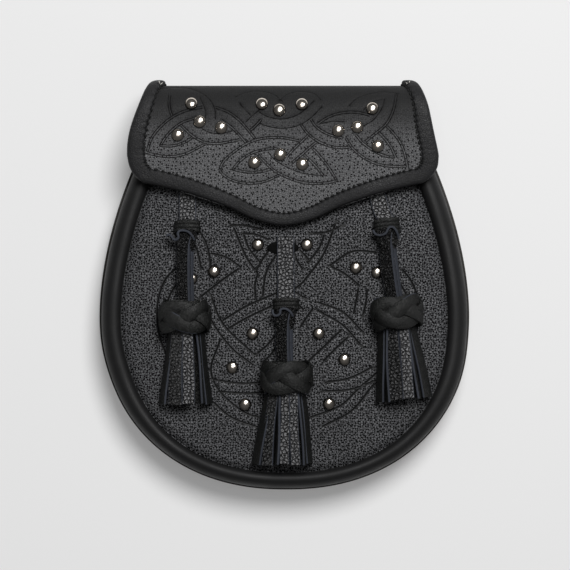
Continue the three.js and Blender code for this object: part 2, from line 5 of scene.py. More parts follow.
import bpy
import numpy as np
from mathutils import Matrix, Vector, kdtree
from mathutils.geometry import delaunay_2d_cdt

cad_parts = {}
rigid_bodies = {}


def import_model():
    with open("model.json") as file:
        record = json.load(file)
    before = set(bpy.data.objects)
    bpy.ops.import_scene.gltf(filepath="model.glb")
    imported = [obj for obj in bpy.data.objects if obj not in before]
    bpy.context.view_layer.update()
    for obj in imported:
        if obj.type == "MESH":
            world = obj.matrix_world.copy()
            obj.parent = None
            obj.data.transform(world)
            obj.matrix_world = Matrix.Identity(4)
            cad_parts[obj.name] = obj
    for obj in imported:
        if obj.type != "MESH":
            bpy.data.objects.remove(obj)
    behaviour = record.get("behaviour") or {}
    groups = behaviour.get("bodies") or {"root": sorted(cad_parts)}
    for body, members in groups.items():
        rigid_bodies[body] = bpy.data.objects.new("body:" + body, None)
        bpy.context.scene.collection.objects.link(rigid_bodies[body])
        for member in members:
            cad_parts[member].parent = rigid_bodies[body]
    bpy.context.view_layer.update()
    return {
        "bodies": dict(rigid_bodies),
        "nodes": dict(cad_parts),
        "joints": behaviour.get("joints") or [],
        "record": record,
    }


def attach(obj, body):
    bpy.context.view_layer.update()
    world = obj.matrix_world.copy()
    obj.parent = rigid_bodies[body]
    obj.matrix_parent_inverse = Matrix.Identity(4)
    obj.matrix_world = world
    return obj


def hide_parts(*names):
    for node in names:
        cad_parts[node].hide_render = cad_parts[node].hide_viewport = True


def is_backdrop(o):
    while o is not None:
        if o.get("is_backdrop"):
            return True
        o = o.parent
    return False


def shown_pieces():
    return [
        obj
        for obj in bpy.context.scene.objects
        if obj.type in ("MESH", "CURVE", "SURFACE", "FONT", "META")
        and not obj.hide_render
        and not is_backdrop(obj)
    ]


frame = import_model()
random.seed(4)
print("frame loaded")

# The pouch lies on its back. Shapes are worked out in millimetres from the lowest point of its body,
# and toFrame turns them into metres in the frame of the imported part.
pouch = {
    "width": 179.4,
    "topWidth": 123.0,
    "height": 181.2,
    "widestHeight": 84.2,
    "lowerFullness": 2.2,
    "upperTaper": 1.8,
    "rollTop": 28.0,
    "overhang": 1.5,
    "rollWidthSide": 9.4,
    "rollWidthBottom": 7.5,
    "rollBlend": 60.0,
    "gap": 0.3,
    "backLift": 9.6,
    "liftStart": 40.0,
    "liftEnd": 134.2,
    "backThickness": 2.2,
    "middle": 98.475,
    "footShift": 0.8,
    "footShiftFades": (48.0, 78.0),
    "topClear": 0.5,
}


def toFrame(point):
    return Vector((point[0], point[1] - pouch["middle"], point[2])) * 0.001


def mix(a, b, share):
    return a + (b - a) * share


def ease(value, low, high):
    share = min(max((value - low) / (high - low), 0.0), 1.0)
    return share * share * (3 - 2 * share)


def evenPoints(dense, count):
    dense = np.array(dense, float)
    steps = np.linalg.norm(np.diff(dense, axis=0), axis=1)
    run = np.concatenate([[0], np.cumsum(steps)])
    wanted = np.linspace(0, run[-1], count)
    return np.stack([np.interp(wanted, run, dense[:, k]) for k in range(dense.shape[1])], axis=1)


def pathLength(points):
    return float(np.linalg.norm(np.diff(np.array(points, float), axis=0), axis=1).sum())


def unit(vector):
    return vector / max(np.linalg.norm(vector), 1e-9)


# The way ahead at one point of a line
def heading(points, i):
    return unit(points[min(i + 1, len(points) - 1)] - points[max(i - 1, 0)])


# Unit steps square to a flat line, on its left
def leftOf(line):
    along = np.gradient(line, axis=0)
    along /= np.maximum(np.linalg.norm(along, axis=1), 1e-9)[:, None]
    return np.stack([-along[:, 1], along[:, 0]], axis=1)


def turns(count):
    return [2 * math.pi * i / count for i in range(count)]


# A search that gives the number of the nearest of some points to a flat place, and how far off it is
def nearestTo(points):
    tree = kdtree.KDTree(len(points))
    for i, p in enumerate(points):
        tree.insert((p[0], p[1], 0.0), i)
    tree.balance()
    return lambda p: tree.find((p[0], p[1], 0.0))[1:]


# A smooth curve through a few points, in samples spaced evenly along it
def curveThrough(points, count):
    points = [np.array(p, float) for p in points]
    reach = [2 * points[0] - points[1], *points, 2 * points[-1] - points[-2]]
    dense = []
    for p0, p1, p2, p3 in zip(reach, reach[1:], reach[2:], reach[3:]):
        d0, d1, d2 = [max(np.linalg.norm(b - a), 1e-6) ** 0.5 for a, b in ((p0, p1), (p1, p2), (p2, p3))]
        m1 = ((p1 - p0) / d0 - (p2 - p0) / (d0 + d1) + (p2 - p1) / d1) * d1
        m2 = ((p2 - p1) / d1 - (p3 - p1) / (d1 + d2) + (p3 - p2) / d2) * d1
        square, cube = 3 * (p2 - p1) - 2 * m1 - m2, 2 * (p1 - p2) + m1 + m2
        dense += [p1 + m1 * t + square * t**2 + cube * t**3 for t in np.linspace(0, 1, 24, endpoint=False)]
    return evenPoints([*dense, points[-1]], count)


# Material nodes

def newMaterial(name):
    material = bpy.data.materials.new(name)
    material.use_nodes = True
    nodes = material.node_tree.nodes
    nodes.clear()
    shader = nodes.new("ShaderNodeBsdfPrincipled")
    output = nodes.new("ShaderNodeOutputMaterial")
    shader.location, output.location = (600, 0), (900, 0)
    material.node_tree.links.new(shader.outputs["BSDF"], output.inputs["Surface"])
    return material, material.node_tree, shader


def newGroup(name, inputs, outputs):
    tree = bpy.data.node_groups.new(name, "ShaderNodeTree")
    for label, kind, value in inputs:
        socket = tree.interface.new_socket(name=label, in_out="INPUT", socket_type=kind)
        if value is not None:
            socket.default_value = value
    for label, kind in outputs:
        tree.interface.new_socket(name=label, in_out="OUTPUT", socket_type=kind)
    return tree, tree.nodes.new("NodeGroupInput"), tree.nodes.new("NodeGroupOutput")


def setValue(tree, socket, value):
    if isinstance(value, bpy.types.NodeSocket):
        tree.links.new(value, socket)
    elif value is not None:
        socket.default_value = value


def calc(tree, operation, a, b=None, c=None, clamp=False):
    node = tree.nodes.new("ShaderNodeMath")
    node.operation, node.use_clamp = operation, clamp
    for socket, value in zip(node.inputs, (a, b, c)):
        setValue(tree, socket, value)
    return node.outputs[0]


def ramp(tree, value, low, high, toLow=0.0, toHigh=1.0):
    node = tree.nodes.new("ShaderNodeMapRange")
    node.interpolation_type = "SMOOTHSTEP"
    labels = ("Value", "From Min", "From Max", "To Min", "To Max")
    for label, number in zip(labels, (value, low, high, toLow, toHigh)):
        setValue(tree, node.inputs[label], number)
    return node.outputs["Result"]


def blendColour(tree, share, a, b):
    node = tree.nodes.new("ShaderNodeMix")
    node.data_type = "RGBA"
    setValue(tree, node.inputs["Factor"], share)
    for label, value in (("A", a), ("B", b)):
        socket = next(s for s in node.inputs if s.name == label and s.type == "RGBA")
        setValue(tree, socket, (*value, 1.0) if isinstance(value, tuple) else value)
    return next(s for s in node.outputs if s.type == "RGBA")


def noise(tree, vector, scale, detail=2.0, roughness=0.5):
    node = tree.nodes.new("ShaderNodeTexNoise")
    setValue(tree, node.inputs["Vector"], vector)
    setValue(tree, node.inputs["Scale"], scale)
    node.inputs["Detail"].default_value = detail
    node.inputs["Roughness"].default_value = roughness
    return node.outputs["Fac"]


def cells(tree, vector, scale, feature="F1", randomness=1.0, dimensions="3D"):
    node = tree.nodes.new("ShaderNodeTexVoronoi")
    node.voronoi_dimensions = dimensions
    node.feature = feature
    setValue(tree, node.inputs["Vector"], vector)
    setValue(tree, node.inputs["Scale"], scale)
    setValue(tree, node.inputs["Randomness"], randomness)
    return node.outputs["Distance"]


# Pebbled leather: rounded pebbles with creases between them, and pits where the hair grew. Its tone is painted
# light on the pebbles and painted shade in the creases, and the pits are painted dark as shade.
# The vector and the sizes are in millimetres, flat on the sheet, and the tooled lines press the grain flat.
pebbleGrain = {
    "warpScale": 0.45,
    "warp": 0.7,
    "pebbleRandomness": 0.9,
    "pitRandomness": 0.75,
    "pebbleRise": 0.8,
    "pitDrop": 0.8,
    "fineScale": 2.4,
    "fineRise": 0.5,
    "patchScale": 0.05,
}


def makePebbleGroup():
    number, vectorKind, look = "NodeSocketFloat", "NodeSocketVector", pebbleGrain
    tree, given, out = newGroup(
        "pebbleGrain",
        [("Vector", vectorKind, None), ("Pebble Size", number, 1.1), ("Crease", number, 0.2),
         ("Pit Spacing", number, 1.7), ("Pit Size", number, 0.22), ("Pressed", number, 0.0)],
        [("Height", number), ("Tone And Shade", number), ("Pits", number)],
    )
    vector, pitSize = given.outputs["Vector"], given.outputs["Pit Size"]
    warp = tree.nodes.new("ShaderNodeTexNoise")
    warp.inputs["Scale"].default_value = look["warpScale"]
    tree.links.new(vector, warp.inputs["Vector"])
    shift = tree.nodes.new("ShaderNodeVectorMath")
    shift.operation = "MULTIPLY_ADD"
    shift.inputs[1].default_value = (look["warp"],) * 3
    tree.links.new(warp.outputs["Color"], shift.inputs[0])
    tree.links.new(vector, shift.inputs[2])
    warped = shift.outputs["Vector"]
    pebbleScale = calc(tree, "DIVIDE", 1.0, given.outputs["Pebble Size"])
    edge = cells(tree, warped, pebbleScale, "DISTANCE_TO_EDGE", look["pebbleRandomness"], "2D")
    dome = ramp(tree, edge, 0.0, given.outputs["Crease"])
    pitScale = calc(tree, "DIVIDE", 1.0, given.outputs["Pit Spacing"])
    spots = cells(tree, warped, pitScale, "F1", look["pitRandomness"], "2D")
    pit = ramp(tree, spots, calc(tree, "MULTIPLY", pitSize, 0.5), pitSize, 1.0, 0.0)
    fine = noise(tree, vector, look["fineScale"], 3.0, 0.6)
    plain = calc(tree, "SUBTRACT", 1.0, given.outputs["Pressed"], clamp=True)
    fineHeight = calc(tree, "MULTIPLY", fine, look["fineRise"])
    raised = calc(tree, "MULTIPLY_ADD", dome, look["pebbleRise"], fineHeight)
    sunk = calc(tree, "SUBTRACT", raised, calc(tree, "MULTIPLY", pit, look["pitDrop"]))
    height = calc(tree, "MULTIPLY", sunk, plain)
    patch = noise(tree, vector, look["patchScale"], 2.0)
    # the tone paints the pebble tops lighter and the creases darker, a painted highlight and shade, over random
    # fine and patch changes of tone
    toneAndShade = calc(tree, "MULTIPLY", dome, ramp(tree, fine, 0.3, 0.7, 0.4, 1.0))
    toneAndShade = calc(tree, "MULTIPLY", toneAndShade, ramp(tree, patch, 0.3, 0.7, 0.85, 1.1))
    for label, value in (("Height", height), ("Tone And Shade", toneAndShade), ("Pits", calc(tree, "MULTIPLY", pit, plain))):
        tree.links.new(value, out.inputs[label])
    return tree


# Fine grain of smooth leather: small cells with painted shade at their edges, short wrinkles and slow random
# changes of tone
smoothGrain = {"grainRise": 0.3, "wrinkleRise": 1.2, "shadeScale": 45.0, "wearScale": 140.0}


def makeSmoothGroup():
    number, look = "NodeSocketFloat", smoothGrain
    tree, given, out = newGroup(
        "smoothGrain",
        [("Vector", "NodeSocketVector", None), ("Grain Size", number, 0.5), ("Wrinkle Size", number, 6.0)],
        [("Height", number), ("Tone And Shade", number), ("Wear", number)],
    )
    vector = given.outputs["Vector"]
    grainScale = calc(tree, "DIVIDE", 1000.0, given.outputs["Grain Size"])
    wrinkleScale = calc(tree, "DIVIDE", 1000.0, given.outputs["Wrinkle Size"])
    grain = ramp(tree, cells(tree, vector, grainScale, "DISTANCE_TO_EDGE"), 0.0, 0.25)
    wrinkle = noise(tree, vector, wrinkleScale, 4.0, 0.6)
    grainHeight = calc(tree, "MULTIPLY", grain, look["grainRise"])
    height = calc(tree, "MULTIPLY_ADD", wrinkle, look["wrinkleRise"], grainHeight)
    shade = ramp(tree, noise(tree, vector, look["shadeScale"], 3.0), 0.3, 0.7, 0.75, 1.2)
    # the cells' edges are painted darker, painted shade in the fine creases
    toneAndShade = calc(tree, "MULTIPLY", shade, ramp(tree, grain, 0, 1, 0.85, 1.0))
    wear = ramp(tree, noise(tree, vector, look["wearScale"], 4.0, 0.7), 0.55, 0.8)
    for label, value in (("Height", height), ("Tone And Shade", toneAndShade), ("Wear", wear)):
        tree.links.new(value, out.inputs[label])
    return tree


pebbleGroup = makePebbleGroup()
smoothGroup = makeSmoothGroup()


def placeGroup(tree, group, values):
    node = tree.nodes.new("ShaderNodeGroup")
    node.node_tree = group
    if "Vector" not in values:
        coordinates = tree.nodes.new("ShaderNodeTexCoord")
        tree.links.new(coordinates.outputs["Object"], node.inputs["Vector"])
    for label, value in values.items():
        setValue(tree, node.inputs[label], value)
    return node


def attribute(tree, name, output="Fac"):
    node = tree.nodes.new("ShaderNodeAttribute")
    node.attribute_name = name
    return node.outputs[output]


def addBump(tree, shader, height, distance):
    node = tree.nodes.new("ShaderNodeBump")
    node.inputs["Strength"].default_value = 1.0
    node.inputs["Distance"].default_value = distance * 0.001
    tree.links.new(height, node.inputs["Height"])
    tree.links.new(node.outputs["Normal"], shader.inputs["Normal"])


# Over a fold the sheet carries painted shade: its colour is darker there, with the grain pressed flat and less
# shine
def pebbledMaterial(name, look):
    material, tree, shader = newMaterial(name)
    tooling, foldShade = attribute(tree, "tooling"), attribute(tree, "foldShade")
    groove = calc(tree, "MULTIPLY", tooling, 3.0, clamp=True)
    grain = placeGroup(tree, pebbleGroup, {
        "Vector": attribute(tree, "grainPlace", "Vector"),
        "Pebble Size": look["pebble"],
        "Crease": look["crease"],
        "Pit Spacing": look["pitSpacing"],
        "Pit Size": look["pitSize"],
        "Pressed": calc(tree, "MAXIMUM", groove, calc(tree, "MULTIPLY", foldShade, 0.8)),
    })
    toneAndShade, pits = grain.outputs["Tone And Shade"], grain.outputs["Pits"]
    # painted highlight on the pebbles, painted shade in the creases and pits
    colour = blendColour(tree, toneAndShade, look["dark"], look["light"])
    colour = blendColour(tree, pits, colour, look["pit"])
    # painted shade over the fold
    colour = blendColour(tree, calc(tree, "MULTIPLY", foldShade, 0.88), colour, look["foldShadeColour"])
    # painted shade in the tooled grooves, in the pit colour
    colour = blendColour(tree, calc(tree, "MULTIPLY", groove, look["groovePaintedShade"]), colour, look["pit"])
    tree.links.new(colour, shader.inputs["Base Color"])
    rough = ramp(tree, toneAndShade, 0.0, 1.0, look["roughLow"], look["roughHigh"])
    tree.links.new(calc(tree, "MULTIPLY_ADD", pits, 0.25, rough, clamp=True), shader.inputs["Roughness"])
    shineOffFold = calc(tree, "SUBTRACT", 1.0, calc(tree, "MULTIPLY", foldShade, 0.75))
    shine = calc(tree, "MULTIPLY", shineOffFold, look["shine"])
    shine = calc(tree, "MULTIPLY", shine, ramp(tree, pits, 0.0, 1.0, 1.0, 0.2))
    tree.links.new(shine, shader.inputs["Specular IOR Level"])
    addBump(tree, shader, grain.outputs["Height"], look["bump"])
    return material


def smoothMaterial(name, look):
    material, tree, shader = newMaterial(name)
    grain = placeGroup(tree, smoothGroup, {"Grain Size": look["grain"], "Wrinkle Size": look["wrinkle"]})
    toneAndShade = grain.outputs["Tone And Shade"]
    colour = blendColour(tree, toneAndShade, look["dark"], look["light"])
    wear = calc(tree, "MULTIPLY", grain.outputs["Wear"], look["wear"])
    colour = blendColour(tree, wear, colour, look["worn"])
    tree.links.new(colour, shader.inputs["Base Color"])
    rough = ramp(tree, toneAndShade, 0.7, 1.2, look["roughLow"], look["roughHigh"])
    tree.links.new(rough, shader.inputs["Roughness"])
    shader.inputs["Specular IOR Level"].default_value = look["shine"]
    addBump(tree, shader, grain.outputs["Height"], look["bump"])
    return material


bodyLeather = pebbledMaterial("bodyLeather", {
    "pebble": 1.15, "crease": 0.22, "pitSpacing": 1.3, "pitSize": 0.4, "dark": (0.026, 0.026, 0.028),
    "light": (0.135, 0.137, 0.144), "pit": (0.002, 0.002, 0.002), "foldShadeColour": (0.018, 0.018, 0.018),
    "groovePaintedShade": 1.0, "roughLow": 0.6, "roughHigh": 0.42, "shine": 0.3, "bump": 0.26,
})
# the flap's leather is lighter than the body's: a painted highlight for the flap's tilt toward the light
flapLeather = pebbledMaterial("flapLeather", {
    "pebble": 1.0, "crease": 0.22, "pitSpacing": 1.85, "pitSize": 0.27, "dark": (0.06, 0.06, 0.062),
    "light": (0.135, 0.136, 0.141), "pit": (0.004, 0.004, 0.004), "foldShadeColour": (0.012, 0.012, 0.012),
    "groovePaintedShade": 1.0, "roughLow": 0.6, "roughHigh": 0.45, "shine": 0.25, "bump": 0.16,
})
stripLook = {
    "crease": 0.3, "pitSpacing": 2.6, "pitSize": 0.2, "pit": (0.002, 0.002, 0.002),
    "foldShadeColour": (0.018, 0.018, 0.018), "groovePaintedShade": 0.0, "roughLow": 0.45, "roughHigh": 0.28, "bump": 1.1,
}
strapLeather = pebbledMaterial("strapLeather", {
    **stripLook, "pebble": 1.7, "crease": 0.26, "dark": (0.005, 0.005, 0.006), "light": (0.17, 0.17, 0.175),
    "pit": (0.004, 0.004, 0.004), "roughLow": 0.5, "shine": 0.8, "bump": 0.8,
})
# darker copies of the strap leather, painted shade for the thongs and the skirt strips turned away from the light
thongShadeLeather = pebbledMaterial("thongShadeLeather", {
    **stripLook, "pebble": 1.6, "dark": (0.002, 0.002, 0.002), "light": (0.016, 0.016, 0.017), "shine": 0.42,
})
skirtShadeLeather = pebbledMaterial("skirtShadeLeather", {
    **stripLook, "pebble": 1.8, "dark": (0.003, 0.003, 0.003), "light": (0.06, 0.06, 0.062), "shine": 0.6,
})
rollLeather = smoothMaterial("rollLeather", {
    "grain": 0.45, "wrinkle": 7.0, "dark": (0.005, 0.005, 0.0053), "light": (0.01, 0.01, 0.0103),
    "worn": (0.02, 0.019, 0.019), "wear": 0.25, "roughLow": 0.58, "roughHigh": 0.48,
    "shine": 0.24, "bump": 0.07,
})
bindingLeather = smoothMaterial("bindingLeather", {
    "grain": 1.1, "wrinkle": 2.2, "dark": (0.005, 0.005, 0.0052), "light": (0.016, 0.016, 0.0168),
    "worn": (0.045, 0.044, 0.044), "wear": 0.35, "roughLow": 0.6, "roughHigh": 0.44,
    "shine": 0.2, "bump": 0.26,
})
laceLeather = smoothMaterial("laceLeather", {
    "grain": 0.6, "wrinkle": 1.3, "dark": (0.002, 0.0022, 0.0022), "light": (0.006, 0.0064, 0.006),
    "worn": (0.03, 0.031, 0.028), "wear": 0.35, "roughLow": 0.5, "roughHigh": 0.36,
    "shine": 0.32, "bump": 0.28,
})
backLeather = smoothMaterial("backLeather", {
    "grain": 0.9, "wrinkle": 9.0, "dark": (0.012, 0.011, 0.01), "light": (0.028, 0.026, 0.024),
    "worn": (0.06, 0.052, 0.044), "wear": 0.22, "roughLow": 0.65, "roughHigh": 0.5,
    "shine": 0.25, "bump": 0.08,
})
rawEdge = smoothMaterial("rawEdge", {
    "grain": 0.3, "wrinkle": 1.5, "dark": (0.045, 0.02, 0.014), "light": (0.11, 0.05, 0.036),
    "worn": (0.02, 0.015, 0.012), "wear": 0.5, "roughLow": 0.8, "roughHigh": 0.65,
    "shine": 0.2, "bump": 0.1,
})
cutEdge = smoothMaterial("cutEdge", {
    "grain": 0.4, "wrinkle": 1.4, "dark": (0.012, 0.0135, 0.0175), "light": (0.038, 0.042, 0.053),
    "worn": (0.008, 0.008, 0.01), "wear": 0.6, "roughLow": 0.65, "roughHigh": 0.5,
    "shine": 0.2, "bump": 0.15,
})
print("leather materials made")


def nickelMaterial():
    material, tree, shader = newMaterial("nickel")
    foot = attribute(tree, "foot")
    coordinates = tree.nodes.new("ShaderNodeTexCoord")
    tarnish = noise(tree, coordinates.outputs["Object"], 700.0, 4.0, 0.6)
    colour = blendColour(tree, ramp(tree, tarnish, 0.45, 0.8), (0.84, 0.77, 0.69), (0.58, 0.5, 0.41))
    # the stud's lower rim is painted dark, a painted reflection of the dark leather round it
    tree.links.new(blendColour(tree, foot, colour, (0.05, 0.042, 0.035)), shader.inputs["Base Color"])
    shader.inputs["Metallic"].default_value = 1.0
    tree.links.new(ramp(tree, tarnish, 0.3, 0.8, 0.13, 0.24), shader.inputs["Roughness"])
    addBump(tree, shader, noise(tree, coordinates.outputs["Object"], 500.0, 1.0), 0.006)
    return material


def threadMaterial(name, dark, light, shine=0.5):
    material, tree, shader = newMaterial(name)
    coordinates = tree.nodes.new("ShaderNodeTexCoord")
    twist = noise(tree, coordinates.outputs["Object"], 3000.0, 2.0)
    tree.links.new(blendColour(tree, ramp(tree, twist, 0.3, 0.7), dark, light), shader.inputs["Base Color"])
    tree.links.new(ramp(tree, twist, 0.3, 0.7, 0.75, 0.55), shader.inputs["Roughness"])
    shader.inputs["Specular IOR Level"].default_value = shine
    addBump(tree, shader, twist, 0.08)
    return material


nickel = nickelMaterial()
blackThread = threadMaterial("blackThread", (0.003, 0.003, 0.003), (0.01, 0.01, 0.01), 0.25)
paleThread = threadMaterial("paleThread", (0.55, 0.53, 0.48), (0.8, 0.78, 0.74))
# near black, painted shadow for the patch beside the centre strap
shadowBlack = threadMaterial("shadowBlack", (0.001, 0.001, 0.001), (0.003, 0.003, 0.003), 0.04)


# Meshes

def addPiece(name, points, faces, materials, slot, replaced=(), faceSlots=None, shares=None, flat=None):
    mesh = bpy.data.meshes.new(name)
    mesh.from_pydata([toFrame(p) for p in points], [], faces)
    for material in materials:
        mesh.materials.append(material)
    if faceSlots is not None:
        mesh.polygons.foreach_set("material_index", faceSlots)
    for label, values in (shares or {}).items():
        mesh.attributes.new(label, "FLOAT", "POINT").data.foreach_set("value", values)
    if flat is not None:
        spread = [c for u, v in flat for c in (u, v, 0.0)]
        mesh.attributes.new("grainPlace", "FLOAT_VECTOR", "POINT").data.foreach_set("vector", spread)
    mesh.polygons.foreach_set("use_smooth", [True] * len(mesh.polygons))
    mesh.validate()
    mesh.update()
    piece = bpy.data.objects.new(name, mesh)
    bpy.context.scene.collection.objects.link(piece)
    mesh.set_sharp_from_angle(angle=math.radians(50))
    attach(piece, "root")
    if replaced:
        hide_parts(*replaced)


# Faces of a form swept through rings of points, with a cap at each end unless it is closed
def sweep(rings, closed=False):
    count = len(rings[0])
    points = [p for ring in rings for p in ring]
    faces = []
    last = len(rings) if closed else len(rings) - 1
    for r in range(last):
        a, b = r * count, ((r + 1) % len(rings)) * count
        for i in range(count):
            j = (i + 1) % count
            faces.append((a + i, a + j, b + j, b + i))
    if not closed:
        end = (len(rings) - 1) * count
        faces.append(tuple(reversed(range(count))))
        faces.append(tuple(range(end, end + count)))
    return points, faces


# Several forms in one mesh
class Gather:
    def __init__(self):
        self.points, self.faces, self.slots, self.flat = [], [], [], []

    def add(self, points, faces, slots=0, flat=None):
        start = len(self.points)
        self.points.extend(points)
        self.flat.extend(flat or [(0.0, 0.0)] * len(points))
        self.faces.extend(tuple(i + start for i in face) for face in faces)
        self.slots.extend([slots] * len(faces) if isinstance(slots, int) else slots)

    def finish(self, name, materials, slot, replaced=(), grained=False):
        flat = self.flat if grained else None
        addPiece(name, self.points, self.faces, materials, slot, replaced, self.slots, None, flat)


# Rounded outline of a flat strip: places across and through it from its middle,
# and whether each side is a cut edge
def stripOutline(width, thickness, rounding, crown=0.0, faceSteps=6):
    half, thick = width / 2 - rounding, thickness / 2
    points, cut = [], []
    for side in (1, -1):
        for i in range(faceSteps + 1):
            share = 1 - 2 * i / faceSteps
            points.append((share * half * side, side * (thick + crown * (1 - share * share))))
            cut.append(i == faceSteps)
        for angle, end in ((30, 1), (60, 1), (90, 1), (90, -1), (60, -1), (30, -1)):
            turn = math.radians(angle)
            level = thick - rounding + rounding * math.cos(turn)
            points.append((-side * (half + rounding * math.sin(turn)), side * end * level))
            cut.append(True)
    return points, cut


# A strip through steps of middle, wide direction, thick direction and width, with its cut edges as slot 1
def stripForm(steps, thickness, rounding, crown=0.0):
    rings, flat, last = [], [], None
    along = random.uniform(0, 200)
    for middle, wide, thick, width in steps:
        outline, cut = stripOutline(width, thickness, rounding, crown)
        middle, wide, thick = [np.array(part, float) for part in (middle, wide, thick)]
        along += 0.0 if last is None else float(np.linalg.norm(middle - last))
        last = middle
        rings.append([tuple(middle + wide * a + thick * b) for a, b in outline])
        flat.extend((a + 20 * (b < 0), along) for a, b in outline)
    points, faces = sweep(rings)
    return points, faces, [int(edge) for edge in cut] * (len(rings) - 1) + [1, 1], flat


# The body's outline, and the levels of its front and back

def bodyHalfWidth(y):
    if y < pouch["widestHeight"]:
        down = min(max((pouch["widestHeight"] - y) / pouch["widestHeight"], 0.0), 1.0)
        power = pouch["lowerFullness"]
        return pouch["width"] / 2 * (1 - down**power) ** (1 / power)
    up = (y - pouch["widestHeight"]) / (pouch["height"] - pouch["widestHeight"])
    return mix(pouch["width"] / 2, pouch["topWidth"] / 2, up ** pouch["upperTaper"])


# Points along the rim from its top left, round the foot to its top right, and the way inward at each
def rimFrames(count):
    dense = []
    for t in np.linspace(0, 1, 4001):
        side = 1 if t > 0.5 else -1
        up = abs(2 * t - 1)
        if up > 0.5:
            y = mix(pouch["widestHeight"], pouch["height"], 2 * up - 1)
            dense.append((side * bodyHalfWidth(y), y))
        else:
            power = 2 / pouch["lowerFullness"]
            x = pouch["width"] / 2 * math.sin(up * math.pi) ** power
            dense.append((side * x, pouch["widestHeight"] * (1 - max(math.cos(up * math.pi), 0.0) ** power)))
    shifted = [(x + pouch["footShift"] * (1 - ease(y, *pouch["footShiftFades"])), y) for x, y in dense]
    points = evenPoints(shifted, count)
    return points, leftOf(points)


def rollWidth(y):
    return mix(pouch["rollWidthBottom"], pouch["rollWidthSide"], ease(y, 0, pouch["rollBlend"]))


def rollInset(y):
    return pouch["overhang"] + rollWidth(y)


def backLevel(y):
    return pouch["backLift"] * ease(y, pouch["liftStart"], pouch["liftEnd"])


panel = {
    "edgeLevel": 25.3,
    "thickness": 2.0,
    "crown": 4.5,
    "flatness": 3.0,
    "slackness": 1.25,
    "mouthDrop": 4.0,
    "edgeDip": 2.3,
    "dipReach": 3.0,
    "outlineSteps": 330,
    "topSteps": 90,
    "meshSpacing": 1.9,
    "lineStep": 1.1,
}


def frontLevel(x, y):
    low = rollInset(0)
    crownY = (low + pouch["height"]) / 2
    reach = crownY - low if y < crownY else panel["slackness"] * (pouch["height"] - crownY)
    halfWidth = max(bodyHalfWidth(max(y, 0.0)) - rollInset(y), rollInset(y))
    across = min(abs(x) / halfWidth, 1.0)
    along = min(abs(y - crownY) / reach, 1.0)
    power = panel["flatness"]
    return panel["edgeLevel"] + panel["crown"] * (1 - across ** power) * (1 - along ** power)


def panelOutline(insetAt, topHeight, count, topCount):
    points, inward = rimFrames(count)
    moved = [p + n * insetAt(p[1]) for p, n in zip(points, inward)]
    inside = [tuple(p) for p in moved if p[1] < topHeight - pouch["topClear"]]
    halfWidth = bodyHalfWidth(topHeight) - insetAt(topHeight)
    inside += [(mix(halfWidth, -halfWidth, i / topCount), topHeight) for i in range(topCount + 1)]
    return inside


def insidePolygon(points, polygon):
    x, y = points[:, 0], points[:, 1]
    inside = np.zeros(len(points), bool)
    corners = np.array(polygon)
    for (ax, ay), (bx, by) in zip(corners, np.roll(corners, -1, axis=0)):
        if ay != by:
            inside ^= ((ay > y) != (by > y)) & (x < (bx - ax) * (y - ay) / (by - ay) + ax)
    return inside


sheet = {
    "lineSample": 0.3,
    "rowHeight": 0.866,
    "clearShare": 0.5,
    "grooveFall": 2.6,
    "backSpacing": 1.6,
    "edgeRings": (0.2, 0.5, 0.8),
}


# A flat sheet filled with triangles that follow its tooled lines.
# Each line is (points, width). The result has the points, the triangles, the outline's places
# and each point's share of the groove's depth.
def fillSheet(outline, lines, spacing, lineStep):
    points = [tuple(p) for p in outline]
    edges, centres, widths = [], [], []
    for line, width in lines:
        fine = evenPoints(line, max(int(pathLength(line) / sheet["lineSample"]), 2))
        centres.extend(map(tuple, fine))
        widths.extend([width] * len(fine))
        coarse = evenPoints(line, max(int(round(pathLength(line) / lineStep)) + 1, 2))
        across = leftOf(coarse)
        for offset in (-0.5, 0.0, 0.5):
            start = len(points)
            points.extend(map(tuple, coarse + across * offset * width))
            edges.extend((start + i, start + i + 1) for i in range(len(coarse) - 1))
    (left, low), (right, high) = np.min(outline, axis=0), np.max(outline, axis=0)
    grid = []
    for row in range(int((high - low) / (spacing * sheet["rowHeight"])) + 1):
        y = low + row * spacing * sheet["rowHeight"]
        shift = spacing / 2 if row % 2 else 0.0
        grid.extend((x + shift, y) for x in np.arange(left, right, spacing))
    grid = np.array(grid)
    grid = grid[insidePolygon(grid, outline)]
    taken, clear = nearestTo(points), spacing * sheet["clearShare"]
    points.extend(tuple(p) for p in grid if taken(p)[1] > clear)
    found = delaunay_2d_cdt([Vector(p) for p in points], edges, [list(range(len(outline)))], 1, 1e-4, True)
    flat = [(p[0], p[1]) for p in found[0]]
    place = {}
    for new, olds in enumerate(found[3]):
        for old in olds:
            place.setdefault(old, new)
    depth = [0.0] * len(flat)
    if centres:
        near = nearestTo(centres)
        for i, p in enumerate(flat):
            which, distance = near(p)
            depth[i] = max(1 - sheet["grooveFall"] * distance / widths[which], 0.0)
    return flat, [tuple(face) for face in found[2]], [place[i] for i in range(len(outline))], depth


